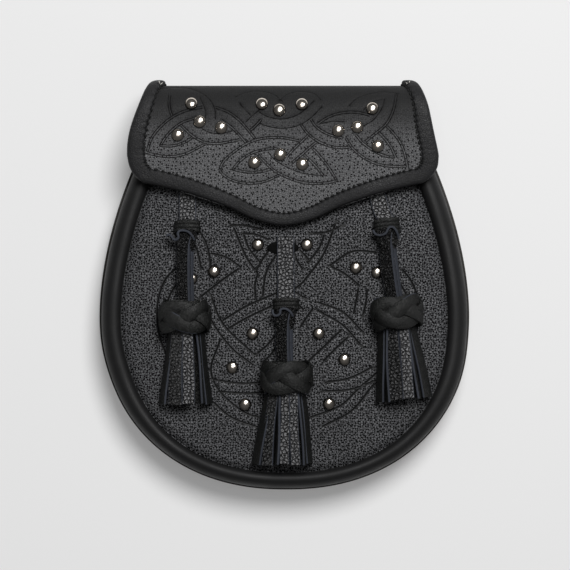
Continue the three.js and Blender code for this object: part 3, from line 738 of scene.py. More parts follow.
# A sheet with a tooled face, a plain back and an edge between them. placeAt takes a flat place, the share of
# the way through the sheet and the groove's depth. It gives points, faces, slots, tooling and flat places.
def sheetForm(outline, lines, look, depth, placeAt):
    spacing, lineStep = look["meshSpacing"], look["lineStep"]
    flat, faces, rim, tooling = fillSheet(outline, lines, spacing, lineStep)
    plain, backFaces, backRim, _ = fillSheet(outline, [], spacing * sheet["backSpacing"], lineStep)
    points = [placeAt(p, 0, depth * share) for p, share in zip(flat, tooling)]
    points += [placeAt(p, 1, 0) for p in plain]
    places = flat + plain
    start = len(flat)
    faces += [tuple(start + i for i in reversed(face)) for face in backFaces]
    slots = [0] * len(faces)
    rings = [rim]
    for share in sheet["edgeRings"]:
        rings.append(range(len(points), len(points) + len(outline)))
        points += [placeAt(p, share, 0) for p in outline]
        places += outline
    rings.append([start + i for i in backRim])
    for upper, lower in zip(rings, rings[1:]):
        for i in range(len(outline)):
            j = (i + 1) % len(outline)
            faces.append((upper[i], lower[i], lower[j], upper[j]))
    slots += [1] * (len(faces) - len(slots))
    tooling += [0.0] * (len(points) - len(tooling))
    return points, faces, slots, tooling, places


# Tooled lines of the body, drawn in steps of 0.48 mm from the middle of its foot: x to the right, y up.
# They are a ring and the interlaced bands that cross it.
bodyTooling = {
    "step": 0.48,
    "shift": (-0.24, 1.345),
    "width": 1.15,
    "depth": 0.45,
    "lines": [
        [(-73, 236), (-58, 232), (-43, 222)],
        [(-43, 222), (-58, 212), (-84, 192)],
        [(-85, 259), (-77, 244), (-73, 222)],
        [(-95, 255), (-87, 239), (-83, 222)],
        [(-106, 223), (-118, 211), (-124, 197), (-127, 179), (-122, 145), (-102, 112), (-73, 89)],
        [(-98, 216), (-109, 203), (-115, 192), (-117, 179), (-113, 149), (-95, 120)],
        [(-50, 261), (-37, 231), (-27, 217)],
        [(-40, 254), (-35, 241), (-24, 227)],
        [(-8, 196), (-38, 183), (-61, 169)],
        [(-13, 183), (-40, 170), (-55, 161)],
        [(-81, 191), (-71, 166), (-50, 139), (-33, 126)],
        [(-73, 194), (-62, 167), (-29, 134)],
        [(-29, 134), (-17, 144), (-6, 157)],
        [(-21, 127), (-13, 135), (-6, 146)],
        [(-73, 89), (-53, 72), (-26, 62)],
        [(-64, 149), (-73, 119), (-65, 99), (-38, 76), (-25, 72)],
        [(-72, 110), (-43, 106), (-23, 107)],
        [(-66, 98), (-35, 96), (-16, 98)],
        [(46, 224), (69, 238), (92, 237)],
        [(46, 223), (60, 216), (74, 205)],
        [(52, 267), (39, 234), (19, 207)],
        [(40, 254), (35, 241), (24, 227)],
        [(34, 187), (59, 177), (79, 157)],
        [(35, 178), (59, 164), (77, 144)],
        [(57, 159), (35, 138), (22, 126)],
        [(65, 153), (52, 141), (40, 129)],
        [(75, 205), (73, 192), (70, 177)],
        [(83, 199), (82, 187), (79, 174)],
        [(119, 219), (127, 209), (134, 189), (131, 152), (114, 122), (89, 104)],
        [(110, 212), (118, 203), (124, 188), (121, 155), (104, 128), (73, 99)],
        [(89, 104), (67, 78), (39, 63)],
        [(73, 99), (57, 84), (27, 72)],
        [(42, 107), (65, 111), (88, 122)],
        [(39, 98), (67, 100), (92, 109)],
        [(-15, 239), (-22, 229), (-28, 218)],
        [(-9, 232), (-14, 225), (-18, 216), (-20, 205), (-21, 194)],
        [(-26, 216), (-29, 205), (-28, 190)],
        [(11, 234), (14, 227), (18, 221)],
        [(16, 239), (21, 234), (26, 228)],
        [(19, 207), (14, 203), (10, 200)],
        [(10, 198), (15, 195), (21, 191)],
        [(13, 186), (16, 183), (19, 180)],
        [(29, 181), (22, 171), (17, 163)],
        [(-41, 256), (-29, 255), (-16, 250)],
        [(-53, 264), (-41, 264), (-22, 260)],
        [(27, 256), (42, 257), (57, 263)],
    ],
}


def drawnLine(points):
    return curveThrough(points, max(int(pathLength(points)), 4))


def makeBodyPanel():
    top = pouch["height"] - panel["mouthDrop"]
    outline = panelOutline(lambda y: rollInset(y) + pouch["gap"], top, panel["outlineSteps"], panel["topSteps"])
    near = nearestTo([p for p in outline if p[1] < top - 0.1])

    # the front dips into the groove beside the roll
    def placeAt(p, through, groove):
        front = frontLevel(*p)
        dip = panel["edgeDip"] * (1 - ease(near(p)[1], 0, panel["dipReach"])) ** 2
        return (p[0], p[1], mix(front - dip - groove, front - panel["thickness"], through))

    step, (right, up) = bodyTooling["step"], bodyTooling["shift"]
    drawn = [drawnLine([(x * step + right, y * step + up) for x, y in row]) for row in bodyTooling["lines"]]
    lines = [(line, bodyTooling["width"]) for line in drawn]
    points, faces, slots, tooling, places = sheetForm(outline, lines, panel, bodyTooling["depth"], placeAt)
    addPiece("bodyPanel", points, faces, [bodyLeather, rollLeather], "pebbled_leather", ["front_panel"], slots,
             {"tooling": tooling}, places)


makeBodyPanel()
print("body panel made")


# The rolled rim stands round the panel with its crest near the panel's groove,
# and the gusset hangs from its waist
roll = {
    "wall": 1.8,
    "crestShare": 0.64,
    "crestDrop": 2.6,
    "outerDrop": 6.9,
    "lipWidth": 4.0,
    "waistDepth": 4.0,
    "waistRise": 0.6,
    "rearBulge": 4.5,
    "flangeWidth": 8.0,
    "neckLean": 0.9,
    "neckShare": 0.45,
    "bendShare": 0.6,
    "heel": (0.5, 1.2),
    "rimSteps": 420,
}


# The middle of the wall at one height of the rim, as places inward from its outside and levels:
# the roll down to the waist, and the gusset from there to its flange on the back
def wallLines(y):
    width, half = rollWidth(y), roll["wall"] / 2
    rear = backLevel(y) + pouch["backThickness"] + pouch["gap"] + half
    top = pouch["rollTop"] - half
    under = top - roll["outerDrop"]
    waistShare = (under - rear) / (pouch["rollTop"] - pouch["backThickness"])
    crest = width * roll["crestShare"]
    lip = panel["edgeLevel"] - panel["thickness"] - pouch["gap"] - half
    line = [(width + roll["lipWidth"], lip), (width - half, lip)]
    inner = (range(0, 91, 15), width - half - crest, roll["crestDrop"])
    outer = (range(102, 181, 13), crest - half, roll["outerDrop"])
    for angles, reach, drop in (inner, outer):
        for turn in map(math.radians, angles):
            line.append((crest + reach * math.cos(turn), top - drop * (1 - math.sin(turn))))
    waist = (roll["waistDepth"] * waistShare + roll["wall"], mix(rear, under, roll["waistRise"]))
    neck = (half + roll["neckLean"], mix(under, waist[1], roll["neckShare"]))
    line += map(tuple, curveThrough([(half, under), neck, waist], 6)[1:])
    bulge = (half, rear + roll["rearBulge"] * waistShare + half)
    bend = (mix(waist[0], half, roll["bendShare"]), mix(waist[1], bulge[1], roll["neckShare"]))
    heel = (half + roll["heel"][0], rear + roll["heel"][1])
    below = [waist, bend, bulge, heel, (half * 3, rear), (roll["flangeWidth"], rear)]
    return line, list(map(tuple, curveThrough(below, 14)))


def wallOutline(line):
    line = np.array(line)
    offset = leftOf(line) * roll["wall"] / 2
    return list(map(tuple, line + offset)) + list(map(tuple, (line - offset)[::-1]))


def makeSideWall():
    rollRings, gussetRings = [], []
    for p, n in zip(*rimFrames(roll["rimSteps"])):
        upper, lower = wallLines(p[1])
        start, below = np.array(lower[:2])
        lower[0] = tuple(start + unit(below - start) * pouch["gap"])
        for rings, line in ((rollRings, upper), (gussetRings, lower)):
            rings.append([(*(p + n * (pouch["overhang"] + a)), level) for a, level in wallOutline(line)])
    addPiece("rimRoll", *sweep(rollRings), [rollLeather], "smooth_leather", ["rim_roll"])
    addPiece("gussetWall", *sweep(gussetRings), [rollLeather], "smooth_leather", ["gusset"])


makeSideWall()
print("rolled rim and gusset made")


backPanel = {"outlineSteps": 420, "topSteps": 90, "meshSpacing": 4.0, "lineStep": 2.0}


def makeBackPanel():
    outline = panelOutline(lambda y: 0.0, pouch["height"], backPanel["outlineSteps"], backPanel["topSteps"])

    def placeAt(p, through, groove):
        back = backLevel(p[1])
        return (p[0], p[1], mix(back + pouch["backThickness"], back, through))

    points, faces, slots, _, _ = sheetForm(outline, [], backPanel, 0, placeAt)
    addPiece("backPanel", points, faces, [backLeather, rawEdge], "back_leather", ["back_panel"], slots)


makeBackPanel()
print("back panel made")


# The flap is one sheet from its tail on the back, over the fold and down the front.
# It is drawn flat: x across it, and y its distance below the fold, negative over the fold and behind.
flap = {
    "foldRadius": 13.25,
    "foldLevel": 21.55,
    "tailLevel": 8.3,
    "level": 34.8,
    "tailLength": 44.0,
    "width": 149.3,
    "foldWidth": 126.5,
    "skew": 0.4,
    "upperSkew": 0.9,
    "skewStarts": (-8.0, 8.0),
    "skewFades": (10.0, 26.0),
    "shoulder": 20.0,
    "cornerWidth": 12.7,
    "cornerDrop": 13.9,
    "length": 53.3,
    "taper": 1.5,
    "droop": 2.4,
    "droopReach": 40.0,
    "droopSharpness": 2.5,
    "thickness": 2.0,
    "inset": 1.6,
    "lowerEdge": [(1.0, 0.0), (0.77, 0.175), (0.55, 0.4), (0.4, 0.59), (0.25, 0.82), (0.1, 0.965), (0.0, 1.0)],
    "edgeStep": 1.2,
    "sideSteps": 85,
    "endSteps": 70,
    "foldShadeFades": (-4.0, 18.0),
    "toolingFades": (-10.0, 12.0),
    "foldTooling": 0.3,
    "meshSpacing": 1.8,
    "lineStep": 1.0,
}


def flapHalfWidth(down):
    quarter = flap["foldRadius"] * math.pi / 2
    share = min(max((flap["shoulder"] - down) / (flap["shoulder"] + quarter), 0.0), 1.0)
    return mix(flap["width"] / 2, flap["foldWidth"] / 2, share ** flap["taper"])


def flapSkew(down):
    upper = (1 - ease(down, *flap["skewFades"])) * ease(down, *flap["skewStarts"])
    return -flap["skew"] - flap["upperSkew"] * upper


def folded(x, down, height):
    radius = flap["foldRadius"]
    if down < -math.pi * radius:
        return (x, pouch["height"] + down + math.pi * radius, flap["tailLevel"] - height)
    if down < 0:
        turn = -down / radius
        reach = radius + height
        return (x, pouch["height"] + reach * math.sin(turn), flap["foldLevel"] + reach * math.cos(turn))
    side = abs(2 * x / flap["width"])
    droop = flap["droop"] * side ** flap["droopSharpness"] * ease(down, 0, flap["droopReach"])
    return (x, pouch["height"] - down, flap["level"] + height - droop)


def flapLowerEdge(step):
    cornerX = flap["width"] / 2 - flap["cornerWidth"]
    cornerDown = flap["shoulder"] + flap["cornerDrop"]
    half = []
    for i in range(4):
        turn = math.pi / 2 * i / 4
        down = flap["shoulder"] + flap["cornerDrop"] * math.sin(turn)
        half.append((cornerX + flap["cornerWidth"] * math.cos(turn), down))
    half += [(across * cornerX, mix(cornerDown, flap["length"], drop)) for across, drop in flap["lowerEdge"]]
    whole = [(-x + flapSkew(y), y) for x, y in half] + [(x + flapSkew(y), y) for x, y in half[::-1][1:]]
    rough = curveThrough(whole, 900)
    points = evenPoints(rough, int(pathLength(rough) / step) + 1)
    return points, -leftOf(points)


# Tooled lines of the flap as they are seen from straight above, in steps of 0.478 mm:
# x to the right of the middle, y down from where the fold begins. They are four interlaced knots
# of three lobes, with a band's edges as double lines.
flapTooling = {
    "step": 0.4783,
    "shift": (-0.5, 0.4),
    "width": 0.68,
    "gap": 1.0,
    "depth": 0.32,
    "double": [
        [(-136.5, 36.5), (-133, 25), (-126, 15), (-117, 6.5), (-107, 0), (-96, -4.5), (-82, -7.5)],
        [(-67, -7), (-55, -2), (-45, 5.5), (-37, 14), (-29, 24)],
        [(-123, 30), (-117, 21), (-109, 13), (-100.5, 7.5), (-90, 4)],
        [(-137, 38), (-128, 40.5), (-117, 42), (-107, 41.5), (-96.5, 38.5), (-86.5, 33.5), (-79, 29.5)],
        [(-123, 31), (-114, 31.5), (-107, 30.5), (-99, 27.5), (-91.5, 23)],
        [(-114.5, -19), (-115, -12), (-114, -4), (-112, 1)],
        [(-102.5, 11), (-96.5, 17), (-90.5, 22), (-83.5, 26), (-76, 28.5), (-66, 29), (-56, 27.5),
         (-46, 25.5)],
        [(-62, 6), (-54, 11.5), (-46, 19), (-38, 28)],
        [(-33, 15.5), (-28, 11), (-23, 5.5)],
        [(-64, 55), (-61, 48), (-54, 40.5), (-46, 34.5), (-38, 29.5), (-30, 26), (-21, 23.8), (-11, 23),
         (2, 23.6), (15, 26.3)],
        [(28, 33), (35, 40.5), (42, 49), (48, 58), (52.5, 65.5)],
        [(-50.5, 54), (-44, 46.5), (-36, 40.5), (-27, 36.8), (-17, 34.6), (-8, 33.8)],
        [(20, 40), (27, 46.5), (34, 54), (39, 61)],
        [(53, 66), (45, 68), (35, 69), (25, 68.8), (15, 67), (5, 63.5), (-4, 59.5), (-11, 55), (-18, 48.5),
         (-26, 40)],
        [(33, 27), (27, 32), (18, 40), (8.5, 48)],
        [(-6, 61), (-13, 64.5), (-21, 67.3), (-30, 68.7), (-40, 68.5), (-50, 66.3), (-58, 62.3),
         (-64, 56.5)],
        [(25, 20), (19, 25.8), (13, 31.5), (7.5, 37), (4, 41)],
        [(-13, 54.5), (-22, 57), (-32, 57.8), (-42, 56.8), (-50.5, 54.7)],
        [(17.5, 10.5), (22, 17), (28, 22.7), (35, 27.2), (43, 30.7), (53, 33), (63, 33)],
        [(27.5, 5.5), (31, 11), (38, 16.5), (47, 20.8), (57, 23)],
        [(36, 8), (44, 2.8), (54, -0.7), (64.5, -2.3), (75, -1.8), (85, 0.6)],
        [(102, 11), (109, 18), (115.5, 26.5), (120, 36.5), (122.5, 46.5), (123.5, 51.5)],
        [(95, 18), (101, 24.3), (107, 32.5), (111.5, 42)],
        [(62.5, 24.5), (68.5, 33.5), (77.5, 41.5), (87, 47), (97, 50.3), (108, 51.8), (122, 52)],
        [(72.5, 21), (78.5, 28), (87, 34.5), (95, 39), (103, 41.8), (110.5, 42.5)],
        [(83.5, 25.5), (95, 16.3), (102, 10), (107, 1.8), (110.5, -8.4), (112.5, -20)],
    ],
    "single": [
        [(-80.5, 15), (-74, 18), (-67, 19), (-59, 18.5), (-52, 16.5)],
        [(-120, -27.5), (-101, -27.6), (-88.5, -24.7), (-79.5, -20), (-72.5, -13), (-69, -4), (-68.5, 4)],
        [(-84, -17), (-80, -8.5), (-78, -1), (-79, 6)],
        [(-24, 9), (-18, 11.2), (-11, 13), (-2, 13.8), (7, 13), (15, 10.5), (22, 7), (29, 1.5), (37, -7)],
        [(-24, -2), (-18, 1.5), (-11, 3.7), (-2, 4.5), (7, 3), (15, -0.5), (22, -5.5), (28, -12)],
        [(-37, 6.5), (-32, 1.5), (-26, -3.5)],
        [(-43, -9.5), (-39, -5), (-34, 0)],
        [(-47, -19), (-37, -23), (-25, -24), (-11, -21), (-2, -14)],
        [(-4, -15), (5, -21.5), (18, -23.5), (30, -21.5), (37, -15)],
        [(-16, 37.5), (-10, 44.5), (-2, 50), (7, 54.5), (17, 58.3), (28, 60.2), (39, 61)],
        [(80.5, 11), (89, 6), (95, -1.2), (99, -8.4), (100.7, -15.5)],
        [(112.5, -22), (99, -23.2), (86, -21.1), (74.5, -17.4), (66, -10)],
        [(100.5, -16), (93, -14.5), (86, -11), (80, -5)],
        [(38, 9), (48, 7), (60, 7.5)],
    ],
}


# A place seen from above, laid out on the flat sheet
def flapPlace(x, y):
    step, shift = flapTooling["step"], flapTooling["shift"]
    across, below = (x + shift[0]) * step, (y + shift[1]) * step
    if below >= 0:
        return across, below
    reach = flap["foldRadius"] + flap["thickness"] / 2
    return across, -flap["foldRadius"] * math.asin(min(-below / reach, 0.98))


def flapLines():
    width, half = flapTooling["width"], flapTooling["gap"] / 2
    lines = [(drawnLine([flapPlace(*p) for p in row]), width) for row in flapTooling["single"]]
    for row in flapTooling["double"]:
        middle = drawnLine([flapPlace(*p) for p in row])
        across = leftOf(middle) * half
        lines += [(middle + across, width), (middle - across, width)]
    return lines


def makeFlap():
    inset, half = flap["inset"], flap["thickness"] / 2
    tailEnd = -(math.pi * flap["foldRadius"] + flap["tailLength"])
    edge, inward = flapLowerEdge(flap["edgeStep"])
    downs = np.linspace(tailEnd, flap["shoulder"], flap["sideSteps"] + 1)[:-1]
    left = [(flapSkew(d) - flapHalfWidth(d) + inset, d) for d in downs]
    right = [(flapSkew(d) + flapHalfWidth(d) - inset, d) for d in downs[::-1]]
    steps = flap["endSteps"]
    end = [(mix(left[0][0], right[-1][0], i / steps), tailEnd) for i in range(steps - 1, 0, -1)]
    outline = [tuple(map(float, p)) for p in (*left, *(edge + inward * inset), *right, *end)]

    def placeAt(p, through, groove):
        return folded(p[0], p[1], mix(half, -half, through) - groove)

    points, faces, slots, tooling, places = sheetForm(outline, flapLines(), flap, flapTooling["depth"], placeAt)
    # painted shade over the fold, fading out below it
    foldShade = [1 - ease(down, *flap["foldShadeFades"]) for _, down in places]
    for i, (_, down) in enumerate(places):
        tooling[i] *= mix(flap["foldTooling"], 1.0, ease(down, *flap["toolingFades"]))
    addPiece("flapSheet", points, faces, [flapLeather, rollLeather], "pebbled_leather", ["flap"], slots,
             {"tooling": tooling, "foldShade": foldShade}, places)


makeFlap()
print("flap made")


# Binding folded round the flap's edge, flat on its face, with a seam of small dark stitches at its inner edge.
# Its face and inner edge are rows of place from the edge, and share or drop of its height.
binding = {
    "sideWidth": 8.0,
    "tipWidth": 5.8,
    "foldWidth": 6.0,
    "foldFades": (-20.0, 12.0),
    "half": 2.5,
    "foldSwell": 1.2,
    "swellFades": (-17.0, -4.0),
    "slot": 1.3,
    "endAngle": 125.0,
    "step": 0.62,
    "cornerClear": 0.3,
    "firstStitch": 1.6,
    "endClear": 4.0,
    "pitchLeft": 3.3,
    "pitchRight": 2.7,
    "pitchChange": 0.56,
    "scallop": 0.7,
    "holeReach": 0.75,
    "threadRadius": 0.52,
    "stitchLength": 1.3,
    "stitchLevel": 1.65,
    "stitchArch": 1.4,
    "stitchInset": 0.35,
    "face": [(0.0, 0.2), (0.12, 0.42), (0.35, 0.65), (0.7, 0.81), (1.2, 0.91), (2.0, 0.98), (3.2, 1.02)],
    "innerEdge": [(1.5, 0.0), (0.8, 0.12), (0.3, 0.45), (0.0, 0.95)],
}


def bindingPath():
    end = -flap["foldRadius"] * math.radians(binding["endAngle"])
    edge, inward = flapLowerEdge(binding["step"])
    downs = np.arange(end, flap["shoulder"] - binding["cornerClear"], binding["step"])
    frames = [((flapSkew(d) - flapHalfWidth(d), d), (1.0, 0.0)) for d in downs]
    frames += [(tuple(p), tuple(n)) for p, n in zip(edge, inward)]
    frames += [((flapSkew(d) + flapHalfWidth(d), d), (-1.0, 0.0)) for d in downs[::-1]]
    return frames


def bindingWidth(down):
    lower = mix(binding["sideWidth"], binding["tipWidth"], ease(down, flap["shoulder"], flap["length"]))
    return mix(binding["foldWidth"], lower, ease(down, *binding["foldFades"]))


# A place on the flap, some way in from its edge
def fromEdge(frame, u, height):
    place, inward = frame
    return folded(place[0] + inward[0] * u, place[1] + inward[1] * u, height)


def makeBinding():
    frames = bindingPath()
    places = np.array([place for place, _ in frames])
    run = np.concatenate([[0], np.cumsum(np.linalg.norm(np.diff(places, axis=0), axis=1))])
    stitches = [binding["firstStitch"]]
    while stitches[-1] < run[-1] - binding["endClear"]:
        pitch = "pitchLeft" if stitches[-1] < run[-1] * binding["pitchChange"] else "pitchRight"
        stitches.append(stitches[-1] + binding[pitch])
    stitches = np.array(stitches)
    slot, root = binding["slot"], flap["inset"] - pouch["gap"]
    rings = []
    for frame, s in zip(frames, run):
        down = frame[0][1]
        half = binding["half"] + binding["foldSwell"] * (1 - ease(down, *binding["swellFades"]))
        hole = math.exp(-((np.min(np.abs(stitches - s)) / binding["holeReach"]) ** 2))
        width = bindingWidth(down) + binding["scallop"] * (0.5 - hole)
        upper = [(u, half * rise) for u, rise in binding["face"]]
        upper += [(width - back, half - drop) for back, drop in binding["innerEdge"]] + [(width, slot)]
        outline = upper + [(root, slot), (root, -slot)] + [(u, -h) for u, h in upper[:0:-1]]
        rings.append([fromEdge(frame, u, height) for u, height in outline])
    addPiece("bindingEdge", *sweep(rings), [bindingLeather], "smooth_leather", ["flap_binding"])

    thread = Gather()
    shares = np.linspace(-0.5, 0.5, 5)
    for s in stitches:
        for face in (1, -1):
            middles = []
            for share in shares:
                k = int(np.clip(np.searchsorted(run, s + share * binding["stitchLength"]), 0, len(run) - 1))
                level = face * (binding["stitchLevel"] - binding["stitchArch"] * share * share)
                u = bindingWidth(frames[k][0][1]) + binding["stitchInset"]
                middles.append(fromEdge(frames[k], u, level))
            thread.add(*tube(middles, binding["threadRadius"]))
    thread.finish("bindingThread", [blackThread], "smooth_leather")


# A round form along a few points, narrower and closed at its ends
def tube(middles, radius, sides=8):
    middles = [np.array(m, float) for m in middles]
    rings = []
    for i, m in enumerate(middles):
        along = heading(middles, i)
        side = np.cross(along, (0.0, 0.0, 1.0))
        if np.linalg.norm(side) < 0.05:
            side = np.cross(along, (0.0, 1.0, 0.0))
        side = unit(side)
        up = np.cross(side, along)
        size = radius * (0.55 if i in (0, len(middles) - 1) else 1.0)
        rings.append([tuple(m + (side * math.cos(t) + up * math.sin(t)) * size) for t in turns(sides)])
    return sweep(rings)


makeBinding()
print("binding and its stitches made")


# Studs: low polished domes with a small rolled foot
stud = {
    "radius": 3.0,
    "height": 2.0,
    "sides": 36,
    "profile": [(0.9, 0.0), (1.0, 0.03), (1.0, 0.16), (0.985, 0.3), (0.93, 0.48), (0.84, 0.64), (0.7, 0.79),
                (0.52, 0.9), (0.33, 0.965), (0.15, 0.995)],
    # these rows paint each stud's lower rim dark, a painted reflection of the dark leather round it
    "flapRimShade": [1.0, 1.0, 0.97, 0.85, 0.5, 0.2, 0.05, 0.0, 0.0, 0.0],
    "bodyRimShade": [1.0, 1.0, 1.0, 0.97, 0.88, 0.7, 0.4, 0.12, 0.0, 0.0],
    "flapPlaces": [(-0.596, -0.088), (-0.542, 0.066), (-0.404, 0.12), (-0.683, 0.186), (-0.144, -0.085),
                   (-0.032, -0.034), (0.112, -0.082), (-0.192, 0.433), (-0.026, 0.362), (0.115, 0.448),
                   (0.564, -0.047), (0.346, 0.146), (0.468, 0.114), (0.599, 0.285)],
    "bodyPlaces": [(-0.142, 0.656), (0.12, 0.656), (-0.377, 0.585), (-0.497, 0.566), (0.383, 0.595),
                   (0.497, 0.582), (-0.169, 0.421), (0.184, 0.421), (-0.278, 0.331), (0.321, 0.352),
                   (-0.209, 0.233), (0.238, 0.235)],
}


def studForm(foot, normal):
    turn = Vector((0, 0, 1)).rotation_difference(Vector(normal).normalized()).to_matrix()
    rings = []
    for across, up in stud["profile"]:
        reach, level = across * stud["radius"], up * stud["height"]
        ring = [turn @ Vector((reach * math.cos(t), reach * math.sin(t), level)) for t in turns(stud["sides"])]
        rings.append([tuple(foot + p) for p in ring])
    points, faces = sweep(rings)
    # the last cap gives way to a fan of triangles round the top
    faces.pop()
    points.append(tuple(foot + turn @ Vector((0, 0, stud["height"]))))
    last = (len(rings) - 1) * stud["sides"]
    faces += [(last + i, last + (i + 1) % stud["sides"], len(points) - 1) for i in range(stud["sides"])]
    return points, faces


def addStuds(name, node, places, rimShadeShares):
    domes = Gather()
    for foot, normal in places:
        domes.add(*studForm(foot, normal))
    nodes = [f"{node}_{i + 1:02d}" for i in range(len(places))]
    shares = ([share for share in rimShadeShares for _ in range(stud["sides"])] + [0.0]) * len(places)
    addPiece(name, domes.points, domes.faces, [nickel], "nickel", nodes, None, {"foot": shares})


def makeStuds():
    raised = flap["thickness"] / 2 + pouch["gap"]
    places = []
    for across, down in stud["flapPlaces"]:
        x, d = across * flap["width"] / 2, down * flap["length"]
        foot, above = Vector(folded(x, d, raised)), Vector(folded(x, d, raised + 1))
        places.append((foot, above - foot))
    addStuds("flapStuds", "flap_stud", places, stud["flapRimShade"])
    places = []
    for across, up in stud["bodyPlaces"]:
        x, y = across * pouch["width"] / 2, up * pouch["height"]
        slope = [frontLevel(x + dx, y + dy) - frontLevel(x - dx, y - dy) for dx, dy in ((0.5, 0), (0, 0.5))]
        normal = Vector((-slope[0], -slope[1], 1)).normalized()
        places.append((Vector((x, y, frontLevel(x, y))) + normal * pouch["gap"], normal))
    addStuds("bodyStuds", "body_stud", places, stud["bodyRimShade"])


makeStuds()
print("studs made")


# Hangers: a strap from under the flap, its collar and slit, the doubled thong and the tassel.
# Each is made flat round its slit, in millimetres, then leaned and laid on the body.
# strapPath has rows of place across, share of the sideways shift, place up and rise. throatPath has rows of
# place across, place up, level and share of the width. Strips are rows of place across at the knot and at
# the tip, level at the knot and at the tip, turn, width and kind of face.
hanger = {
    "strapWidth": 8.3,
    "strapThickness": 1.9,
    "strapPath": [(0.4, 1.0, 12.0, 0.1), (0.4, 0.5, 8.0, 0.8), (0.4, 0.0, 5.8, 1.3), (0.3, 0.0, 3.0, 0.7),
                  (0.2, 0.0, -1.5, 0.5)],
    "collarWidth": 11.4,
    "collarLength": 5.6,
    "collarTop": 5.1,
    "collarShift": 0.4,
    "collarLevel": 3.6,
    "collarHeight": 2.6,
    "collarBend": 0.5,
    "collarLace": (0.13, 1.05, 0.22),
    "throatWidth": 9.6,
    "throatThickness": 1.8,
    "throatPath": [(0.0, 1.6, 5.8, 0.9), (0.0, -1.5, 7.0, 1.0), (0.0, -5.1, 7.6, 0.95), (0.0, -8.5, 6.6, 0.7)],
    "thongThickness": 2.1,
    "thongWidth": 7.4,
    "thongTurn": 38.0,
    "thongShift": -1.4,
    "thongLevel": 6.4,
    "layerGap": 2.5,
    "curlWidth": 4.2,
    "curlThickness": 1.15,
    "curlLevel": 8.6,
    "curlRise": 1.2,
    "curlDrop": 1.0,
    "curlSteps": 46,
    "knotWidth": 24.4,
    "knotEnd": 17.0,
    "knotLength": 15.4,
    "knotDepth": 16.0,
    "knotLevel": 8.3,
    "laceWidth": 6.8,
    "laceThickness": 1.1,
    "laceCup": 0.045,
    "laceReach": 0.62,
    "laceLift": 0.55,
    "laceSink": 0.25,
    "laceSteps": 260,
    "coreShare": 0.97,
    "coreDrop": 1.3,
    "skirtLength": 34.0,
    "stripThickness": 1.05,
    "stripSteps": 16,
    "stripTuck": 2.6,
    "stripSpread": 0.85,
    "stripWaves": (0.25, 0.4, 0.35),
    "places": {
        "left": {
            "x": -46.91, "eye": 124.1, "knot": 84.4, "lean": 0.0, "strapTop": 20.0,
            "strapShift": 0.0, "collarTurns": 3, "knotShift": -0.7, "knotPhase": 0.35,
            "laceEdges": [(96, 112), (231, 244)],
            "curl": [(-9.6, -1.2), (-8.2, -0.5), (-6.9, -1.5), (-6.0, -2.8), (-4.6, -2.9), (-3.7, -1.8),
                     (-4.0, 0.2), (-3.0, 1.3), (-1.0, 1.4), (1.1, 0.7), (2.6, -0.8), (3.6, -2.6),
                     (4.3, -5.2)],
            "strips": [(-6.7, -11.3, 6.5, 5.4, 62, 6.1, 0), (-4.0, -5.4, 10.6, 8.4, 20, 7.3, 2),
                       (0.8, 1.0, 12.0, 9.6, -3, 6.1, 1), (5.0, 8.6, 8.6, 7.4, -74, 6.1, 0),
                       (6.7, 10.7, 5.6, 4.6, -62, 6.0, 0), (-2.0, -3.3, 5.0, 1.1, 0, 6.5, 0),
                       (3.2, 4.7, 5.0, 0.9, 0, 6.5, 0)],
        },
        "centre": {
            "x": 0.45, "eye": 86.8, "knot": 55.3, "lean": 0.5, "strapTop": 36.0,
            "strapShift": 0.0, "collarTurns": 3, "knotShift": 0.4, "knotPhase": 1.15,
            "laceEdges": [(14, 30), (150, 166)],
            "curl": [(-6.0, 1.0), (-6.0, -0.6), (-5.1, -1.8), (-3.6, -1.8), (-2.5, -0.8), (-2.4, 0.6),
                     (-1.3, 1.4), (0.4, 1.2), (2.0, 0.2), (3.2, -1.4), (3.8, -4.0)],
            "strips": [(-7.4, -14.5, 6.3, 5.2, 52, 6.5, 0), (-5.6, -9.5, 9.6, 7.2, 24, 5.8, 2),
                       (-2.9, -5.0, 10.6, 8.6, 74, 5.0, 0), (-0.7, -0.8, 12.0, 9.6, 4, 4.7, 1),
                       (3.4, 4.2, 11.8, 9.2, -5, 4.7, 1), (6.2, 8.9, 9.0, 7.4, -76, 5.6, 0),
                       (7.4, 11.2, 6.2, 5.0, -66, 6.0, 0), (-2.4, -3.7, 5.0, 1.1, 0, 6.5, 0),
                       (3.2, 5.1, 5.0, 0.9, 0, 6.5, 0)],
        },
        "right": {
            "x": 49.06, "eye": 125.0, "knot": 86.1, "lean": 6.9, "strapTop": 20.0,
            "strapShift": -1.9, "collarTurns": 4, "knotShift": 0.2, "knotPhase": 2.1,
            "laceEdges": [(60, 74), (190, 208)],
            "curl": [(-6.6, 1.6), (-5.8, -0.3), (-4.4, -1.2), (-2.6, -1.3), (-0.6, -0.6), (0.5, 1.0),
                     (1.6, 2.0), (3.0, 1.8), (4.2, 0.4), (4.9, -1.6), (5.4, -4.2)],
            "strips": [(-7.8, -12.8, 6.4, 5.2, 58, 6.3, 0), (-5.9, -9.7, 8.6, 7.0, 72, 5.6, 0),
                       (-2.7, -5.2, 10.6, 8.6, 16, 6.9, 2), (2.2, 1.1, 12.0, 9.6, -2, 5.4, 1),
                       (4.6, 6.1, 8.6, 7.0, -74, 5.8, 0), (6.4, 9.9, 6.4, 5.2, -48, 6.0, 0),
                       (-1.6, -2.8, 5.0, 1.1, 0, 6.5, 0), (3.2, 3.3, 5.0, 0.9, 0, 6.5, 0)],
        },
    },
}


# The hangers' material slots: pebbled face, pale cut edge, smooth lace, and a darker copy of the pebbled face that
# is painted shade on the thong and on strips turned from the light. The kinds of face in the strips' rows count
# through stripFaces.
grainFace, cutFace, laceFace, shadedFace = range(4)
stripFaces = (laceFace, grainFace, shadedFace)


